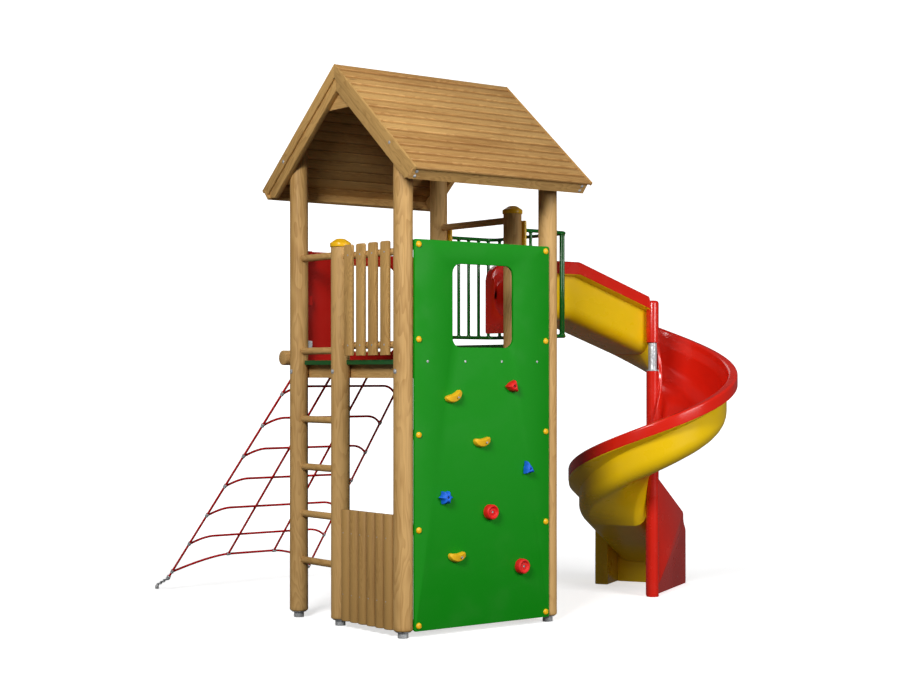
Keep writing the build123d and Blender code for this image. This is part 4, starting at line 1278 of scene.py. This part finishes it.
@dataclass
class Slide:
    """The spiral slide: steel column, red sleeves, and a trough that is red inside and yellow outside."""

    column: tuple[float, float] = (2.517, 0.452)
    column_r: float = 0.030
    column_top: float = 2.086
    sleeve_r: float = 0.044
    upper: tuple[float, float] = (1.794, 2.091)
    lower_top: float = 1.593
    collar_t: float = 0.008
    rim_r: float = 0.594
    wall_r: float = 0.518
    rim_in: float = 0.531
    band: float = 0.085
    skin: float = 0.022
    inner: float = 0.0446
    inner_round: float = 0.095
    outer_round: float = 0.150
    crease: float = 0.003
    turn: float = 331.6
    rim_top: float = 2.105
    rim_fall: float = 0.00383
    base_top: float = 1.545
    base_lift: float = 0.167
    lift_turn: float = 130.0
    base_fall: float = 0.002407
    base_bend: float = 0.0000023
    flare_first: float = 0.115
    flare_more: float = 0.065
    flare_turns: tuple[float, float] = (230.0, 310.0)
    gap: float = 0.0004
    cut: float = 0.0015
    entry_x: tuple[float, float, float] = (1.480, 1.817, 2.517)
    entry_rim: float = 2.335
    entry_base: float = 1.942
    entry_lip: float = 0.062
    entry_corner: float = 0.100
    flange_z: float = 1.853
    flange_drop: float = 0.105
    foot_w: float = 0.340
    step_z: float = 1.769
    exit_lip: float = 0.790
    exit_end: float = 0.852
    exit_rim: float = 0.539
    exit_base: float = 0.143
    exit_leg: float = 0.519
    leg_r: float = 0.606
    exit_rise: float = 0.040
    nose_z: float = 0.408
    nose: float = 0.062

    def rim(self, turned: Grid | float) -> Grid | float:
        """The spiral rim's height after turning by some degrees, at an even fall."""
        return self.rim_top - self.rim_fall * turned

    def base(self, turned: Grid | float) -> Grid | float:
        """The underside's height: lifted at first, then falling a little faster with each degree."""
        lift = self.base_lift * (1 - smooth(turned, 0.0, self.lift_turn))
        return self.base_top + lift - self.base_fall * turned - self.base_bend * turned ** 2

    def flare(self, turned: Grid | float) -> Grid:
        """How far below the rim the outer wall leans out, more by the exit than at first."""
        return self.flare_first + self.flare_more * smooth(turned, *self.flare_turns)

    def section(self, rim: Grid, base: Grid, flare: Grid, lip: float = 0.0) -> tuple[Grid, Grid]:
        """The trough's closed outline at each station, as radius and height, corners rounded.

        Args:
            rim: The rim's height, one for each station.
            base: The underside's height.
            flare: How far below the rim the outer wall leans out.
            lip: How far the inner rim's band stands proud, or 0 for none.

        Returns:
            The outlines, station by point by 2, and 0 for red or 1 for yellow on each column of squares.
        """
        band, crease, inner = rim - self.band, self.crease, self.inner
        shelf = band - 0.002 - 0.38 * (flare - self.flare_first)
        far, top = self.wall_r - self.skin, inner + self.skin
        rows = [
            (inner, base, self.inner_round, 1), (self.wall_r, base, self.outer_round, 1),
            (self.wall_r, rim - flare, 0.010, 1), (self.rim_r - crease, shelf, 0.010, 1),
            (self.rim_r - crease, band - 0.0005, 0.0004, 0), (self.rim_r, band + 0.002, 0.0015, 0),
            (self.rim_r, rim, 0.016, 0), (self.rim_in, rim, 0.020, 0),
            (self.rim_in - 0.008, rim - 0.050, 0.060, 0),
            (far, rim - 0.110, 0.060, 0), (far, base + self.skin, self.outer_round - self.skin, 0),
            (top, base + self.skin, self.inner_round - self.skin, 0), (top, rim, 0.008, 0)]
        if lip:
            out = inner - lip
            rows += [(out, rim, 0.014, 0), (out, band + 0.002, 0.0015, 0),
                     (out + crease, band - 0.0005, 0.0004, 1),
                     (out + crease, band - 0.002, 0.003, 1), (inner, rim - 0.096, 0.006, 1)]
        else:
            rows += [(inner, rim, 0.004, 0)]
        corners = np.zeros((len(rim), len(rows), 2))
        for i, (radius, height, _, _) in enumerate(rows):
            corners[:, i, 0] = radius
            corners[:, i, 1] = height
        outline = rounded(corners, [row[2] for row in rows], ARC_STEPS)
        return outline, np.repeat([row[3] for row in rows], ARC_STEPS)

    def spiral(self) -> None:
        """Turn the section about the column: X is the column's plus r cos(90 - u), Y plus r sin(90 - u)."""
        turned = np.linspace(0, self.turn, 150)
        outline, colour = self.section(self.rim(turned), self.base(turned), self.flare(turned))
        angle = np.radians(90 - turned)[:, None]
        radius = outline[..., 0]
        x, y = self.column[0] + radius * np.cos(angle), self.column[1] + radius * np.sin(angle)
        skin = Skin()
        skin.sheet(np.stack([x, y, outline[..., 1]], -1), finish=colour)
        self.finish(skin, "spiral_trough", "slide_spiral")

    def finish(self, skin: Skin, name: str, node: str) -> None:
        """Build one part of the trough in its two colours and let it stand for its node."""
        skin.build(name, Finishes.slide_red, Finishes.slide_yellow, node=node, sharp=40.0)

    def entry(self) -> None:
        """Run the section along X, with rounded first corners and a soft knee, and end it on the sleeve."""
        x0, knee, x1 = self.entry_x
        start = np.array([0.0, 0.0012, 0.005, 0.012, 0.022, 0.036, 0.054, 0.076, 0.100])
        x = np.concatenate([x0 + start, np.linspace(x0 + 0.13, knee - 0.03, 6),
                            np.linspace(knee - 0.02, knee + 0.02, 9),
                            np.linspace(knee + 0.03, x1 - 0.046, 12), [x1]])

        def soft(high: float, low: float) -> Grid:
            """Level to the knee and sloping from there, as the mean of four lines a few mm apart."""
            steps = [np.interp(np.clip(x + d, x0, x1), [x0, knee, x1], [high, high, low])
                     for d in (-0.012, -0.004, 0.004, 0.012)]
            return sum(steps) / 4

        away = np.clip(1 - (x - x0) / self.entry_corner, 0, 1)
        drop = self.entry_corner * (1 - np.sqrt(1 - (0.9998 * away) ** 2))
        rim = soft(self.entry_rim, self.rim_top) - drop
        base = soft(self.entry_base, float(self.base(0.0)))
        outline, colour = self.section(rim, base, np.full(len(x), self.flare_first), self.entry_lip)
        radius = outline[..., 0]
        reach = np.sqrt(np.clip((self.sleeve_r + self.gap) ** 2 - radius ** 2, 0, None))
        run = np.minimum(np.broadcast_to(x[:, None], radius.shape), x1 - reach)
        skin = Skin()
        skin.sheet(np.stack([run, self.column[1] + radius, outline[..., 1]], -1), finish=colour)
        self.flange(skin)
        self.finish(skin, "entry_trough", "slide_entry")

    def flange(self, skin: Skin) -> None:
        """A red U round the trough's end and the web under it that stands on the step plate."""
        x0 = self.entry_x[0]
        low, high = self.inner - self.entry_lip, self.rim_r
        floor = self.entry_base + self.skin
        top = self.entry_rim - self.flange_drop
        near, far = self.inner + self.skin, self.wall_r - self.skin
        collar = [(low, self.flange_z), (high, self.flange_z), (high, top), (far, top),
                  (far, floor), (near, floor), (near, top), (low, top)]
        bends = [0.012, 0.012, 0.002, 0.002, self.outer_round - self.skin,
                 self.inner_round - self.skin, 0.002, 0.002]
        web = oblong(self.inner, self.inner + self.foot_w, self.step_z, self.flange_z + 0.01)

        def place(pairs: Grid, x: float) -> Grid:
            """Carry pairs of distance from the column's line and height to 3-D."""
            return np.stack([np.full(len(pairs), x), self.column[1] + pairs[:, 0], pairs[:, 1]], -1)

        for corners, radii, front in ((np.array(collar), bends, -0.002), (web, [0.003] * 4, 0.0)):
            skin.plank(rounded(corners, radii, ARC_STEPS), place, x0 + front, x0 + self.skin, self.cut)

    def exit_place(self, pairs: Grid, run: Grid | float) -> Grid:
        """Carry (radius, height) at some run along the exit to 3-D: the section moves straight ahead."""
        angle = math.radians(90 - self.turn)
        cos, sin = math.cos(angle), math.sin(angle)
        radius, height = pairs[..., 0], pairs[..., 1]
        return np.stack([self.column[0] + radius * cos + run * sin,
                         self.column[1] + radius * sin - run * cos, height], -1)

    def exit(self) -> None:
        """Run the section straight ahead between a wall by the column and an outer leg, over a cross wall."""
        share = np.linspace(0, 1, 24)
        rim0, base0 = float(self.rim(self.turn)), float(self.base(self.turn))
        rim = rim0 + (self.exit_rim - rim0) * share
        base = base0 + (self.exit_base - base0) * share
        outline, colour = self.section(rim, base, np.full(24, self.flare_first + self.flare_more))
        skin = Skin()
        skin.sheet(self.exit_place(outline, (share * self.exit_lip)[:, None]), finish=colour)
        nose = [(self.exit_end, 0.0), (self.exit_end, self.nose_z),
                (self.exit_end - self.nose, self.nose_z + self.nose),
                (self.exit_lip, self.exit_rim - self.cut)]
        start = self.sleeve_r + self.gap
        wall = [(start, 0.0)] + nose + [(start, rim0 + self.exit_rise)]
        bends = [0.004, 0.010, 0.060, 0.080, 0.030]
        skin.plank(rounded(np.array(wall), bends + [0.012], ARC_STEPS), self.exit_plate, 0.0,
                   self.inner + self.skin - self.cut, 0.006)
        fall = (rim0 - self.exit_rim) / self.exit_lip
        leg = [(self.exit_leg, 0.0)] + nose + [(self.exit_leg, rim0 - fall * self.exit_leg - self.cut)]
        skin.plank(rounded(np.array(leg), bends + [0.006], ARC_STEPS), self.exit_plate,
                   self.wall_r - self.skin / 2, self.leg_r, 0.006, finish=1)
        self.lip(skin)
        self.finish(skin, "exit_trough", "slide_exit")

    def exit_plate(self, pairs: Grid, away: float) -> Grid:
        """Carry (run, height) at some distance from the column's plane to 3-D."""
        return self.exit_place(np.stack([np.full(len(pairs), away), pairs[:, 1]], -1), pairs[:, 0])

    def lip(self, skin: Skin) -> None:
        """The cross wall under the trough's end: its top follows the trough's floor inside its skin."""
        low = self.exit_base + self.skin / 2
        v0, v1 = self.inner + self.skin / 2, self.wall_r - self.skin / 2
        half = np.linspace(0, math.pi / 2, 10)
        r0, r1 = self.inner_round - self.skin / 2, self.outer_round - self.skin / 2
        left = np.stack([v0 + r0 * (1 - np.cos(half)), low + r0 * (1 - np.sin(half))], -1)
        right = np.stack([v1 - r1 * (1 - np.cos(half)), low + r1 * (1 - np.sin(half))], -1)[::-1]
        line = np.concatenate([[(v0, 0.0)], left, right, [(v1, 0.0)]])
        rings = [self.exit_place(line, self.exit_lip - self.cut - depth) for depth in (0.0, self.skin)]
        skin.sheet(np.stack(rings), finish=1)

    def posts(self) -> None:
        """Turn the steel column with its collar, and the two red sleeves with rounded heads."""
        x, y = self.column
        r, s = self.column_r, self.sleeve_r
        low = self.lower_top + 0.0003
        high = low + self.collar_t
        skin = Skin()
        skin.lathe([(0, 0), (r, 0), (r, low), (s - 0.001, low), (s, low + 0.001), (s, high - 0.001),
                    (s - 0.001, high), (r + 0.002, high), (r, high + 0.004), (r, self.column_top),
                    (0, self.column_top)], (x, y, 0), (0, 0, 1), 48)
        skin.build("steel_column", Finishes.zinc, node="slide_column", sharp=40.0)
        skin = Skin()
        b = r + 0.00015
        skin.lathe([(b, 0), (s - 0.002, 0), (s, 0.002), (s, self.lower_top - 0.003),
                    (s - 0.003, self.lower_top), (b, self.lower_top)], (x, y, 0), (0, 0, 1), 48)
        z0, z1 = self.upper
        skin.lathe([(b, z0), (s - 0.002, z0), (s, z0 + 0.002), (s, z1 - 0.020), (s - 0.003, z1 - 0.009),
                    (s - 0.011, z1 - 0.002), (s - 0.022, z1), (0, z1)], (x, y, 0), (0, 0, 1), 48)
        skin.build("red_sleeves", Finishes.sleeve_red, node="column_sleeves", sharp=40.0)

    def make(self) -> None:
        """Build the whole slide."""
        self.posts()
        self.entry()
        self.spiral()
        self.exit()


@dataclass
class Studio:
    """The pale floor that sweeps up into a backdrop, the soft lights and the camera."""

    lens: float = 68.5
    shift_y: float = 0.0256
    camera_at: tuple[float, float, float] = (-6.037, -8.227, 1.579)
    camera_turn: float = -37.84
    flat: float = 9.0
    bend: float = 5.0
    aim: tuple[float, float, float] = (1.2, 0.9, 1.6)

    def floor(self) -> None:
        """A sheet that runs flat, then a quarter circle up behind the tower, square to the camera's view."""
        bench = Bench("studio_floor")
        shade = bench.span(bench.noise(bench.place(), 0.6, 2.0), 0.3, 0.7, 0.0, 0.02)
        colour = bench.mix(shade, linear((252, 252, 252)), linear((246, 246, 246)))
        bench.set(Base_Color=colour, Roughness=0.9, Specular_IOR_Level=0.05)
        away = bench.node("ShaderNodeVectorMath", {0: bench.place()}, operation="LENGTH").outputs["Value"]
        bench.set(Emission_Color=(1, 1, 1, 1), Emission_Strength=bench.span(away, 3.5, 7.5, 0.60, 1.0))
        turn = math.radians(self.camera_turn)
        ahead = np.array([-math.sin(turn), math.cos(turn), 0.0])
        right = np.array([math.cos(turn), math.sin(turn), 0.0])
        arc = np.linspace(0, math.pi / 2, 24)
        rise = self.bend * np.stack([np.sin(arc), 1 - np.cos(arc)])
        out = np.concatenate([[-14.0], self.flat + rise[0], [self.flat + self.bend]])
        up = np.concatenate([[0.0], rise[1], [16.0]])
        side = np.linspace(-20, 20, 3)
        grid = out[:, None, None] * ahead + side[None, :, None] * right + np.array([1.0, 1.0, 0.0])
        grid[..., 2] = up[:, None]
        mesh = bpy.data.meshes.new("studio_floor")
        quads = grid_quads(len(out), 3, False, False).reshape(-1, 4)
        mesh.from_pydata(grid.reshape(-1, 3).tolist(), [], quads.tolist())
        mesh.materials.append(bench.material)
        mesh.shade_smooth()
        made = bpy.data.objects.new("studio_floor", mesh)
        made.visible_diffuse = False
        made.visible_glossy = False
        bpy.context.scene.collection.objects.link(made)

    def light(self, name: str, at: tuple[float, float, float], size: float, power: float) -> None:
        """Hang one square soft light that looks at the tower's middle."""
        lamp = bpy.data.lights.new(name, "AREA")
        lamp.size = size
        lamp.energy = power
        made = bpy.data.objects.new(name, lamp)
        made.location = at
        from_aim = np.asarray(at) - np.asarray(self.aim)
        flat = math.hypot(from_aim[0], from_aim[1])
        made.rotation_euler = (math.atan2(flat, from_aim[2]), 0.0, math.atan2(from_aim[0], -from_aim[1]))
        bpy.context.scene.collection.objects.link(made)

    def make(self) -> None:
        """Set floor, world, lights and camera."""
        self.floor()
        scene = bpy.context.scene
        world = bpy.data.worlds.new("studio_world")
        world.use_nodes = True
        tree = world.node_tree
        seen = tree.nodes.new("ShaderNodeTexCoord")
        split = tree.nodes.new("ShaderNodeSeparateXYZ")
        high = tree.nodes.new("ShaderNodeMapRange")
        tree.links.new(seen.outputs["Generated"], split.inputs[0])
        tree.links.new(split.outputs[2], high.inputs["Value"])
        for socket, value in (("From Min", -0.6), ("From Max", 0.8), ("To Min", 1.45), ("To Max", 1.85)):
            high.inputs[socket].default_value = value
        tree.links.new(high.outputs[0], tree.nodes["Background"].inputs["Strength"])
        scene.world = world
        self.light("key_light", (-7.5, -5.0, 6.5), 3.0, 900)
        self.light("fill_light", (3.0, -9.5, 4.5), 5.0, 640)
        self.light("back_light", (4.0, 8.0, 7.5), 5.0, 120)
        scene.view_settings.view_transform = "Standard"
        camera = bpy.data.cameras.new("photo_camera")
        camera.lens = self.lens
        camera.sensor_width = 36.0
        camera.shift_y = self.shift_y
        camera.clip_end = 100.0
        made = bpy.data.objects.new("photo_camera", camera)
        made.location = self.camera_at
        made.rotation_euler = (math.pi / 2, 0.0, math.radians(self.camera_turn))
        scene.collection.objects.link(made)
        scene.camera = made


def main() -> None:
    """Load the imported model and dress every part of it."""
    logging.basicConfig(level=logging.INFO, format="%(name)s %(message)s")
    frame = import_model()
    dress_packed(frame)
    for part in (Roof(), Posts(), LadderSide(), Walls(), Holds(), Net(), Guard(), Slide(), Studio()):
        part.make()
        LOG.info("%s is built", type(part).__name__)


if __name__ == "__main__":
    main()
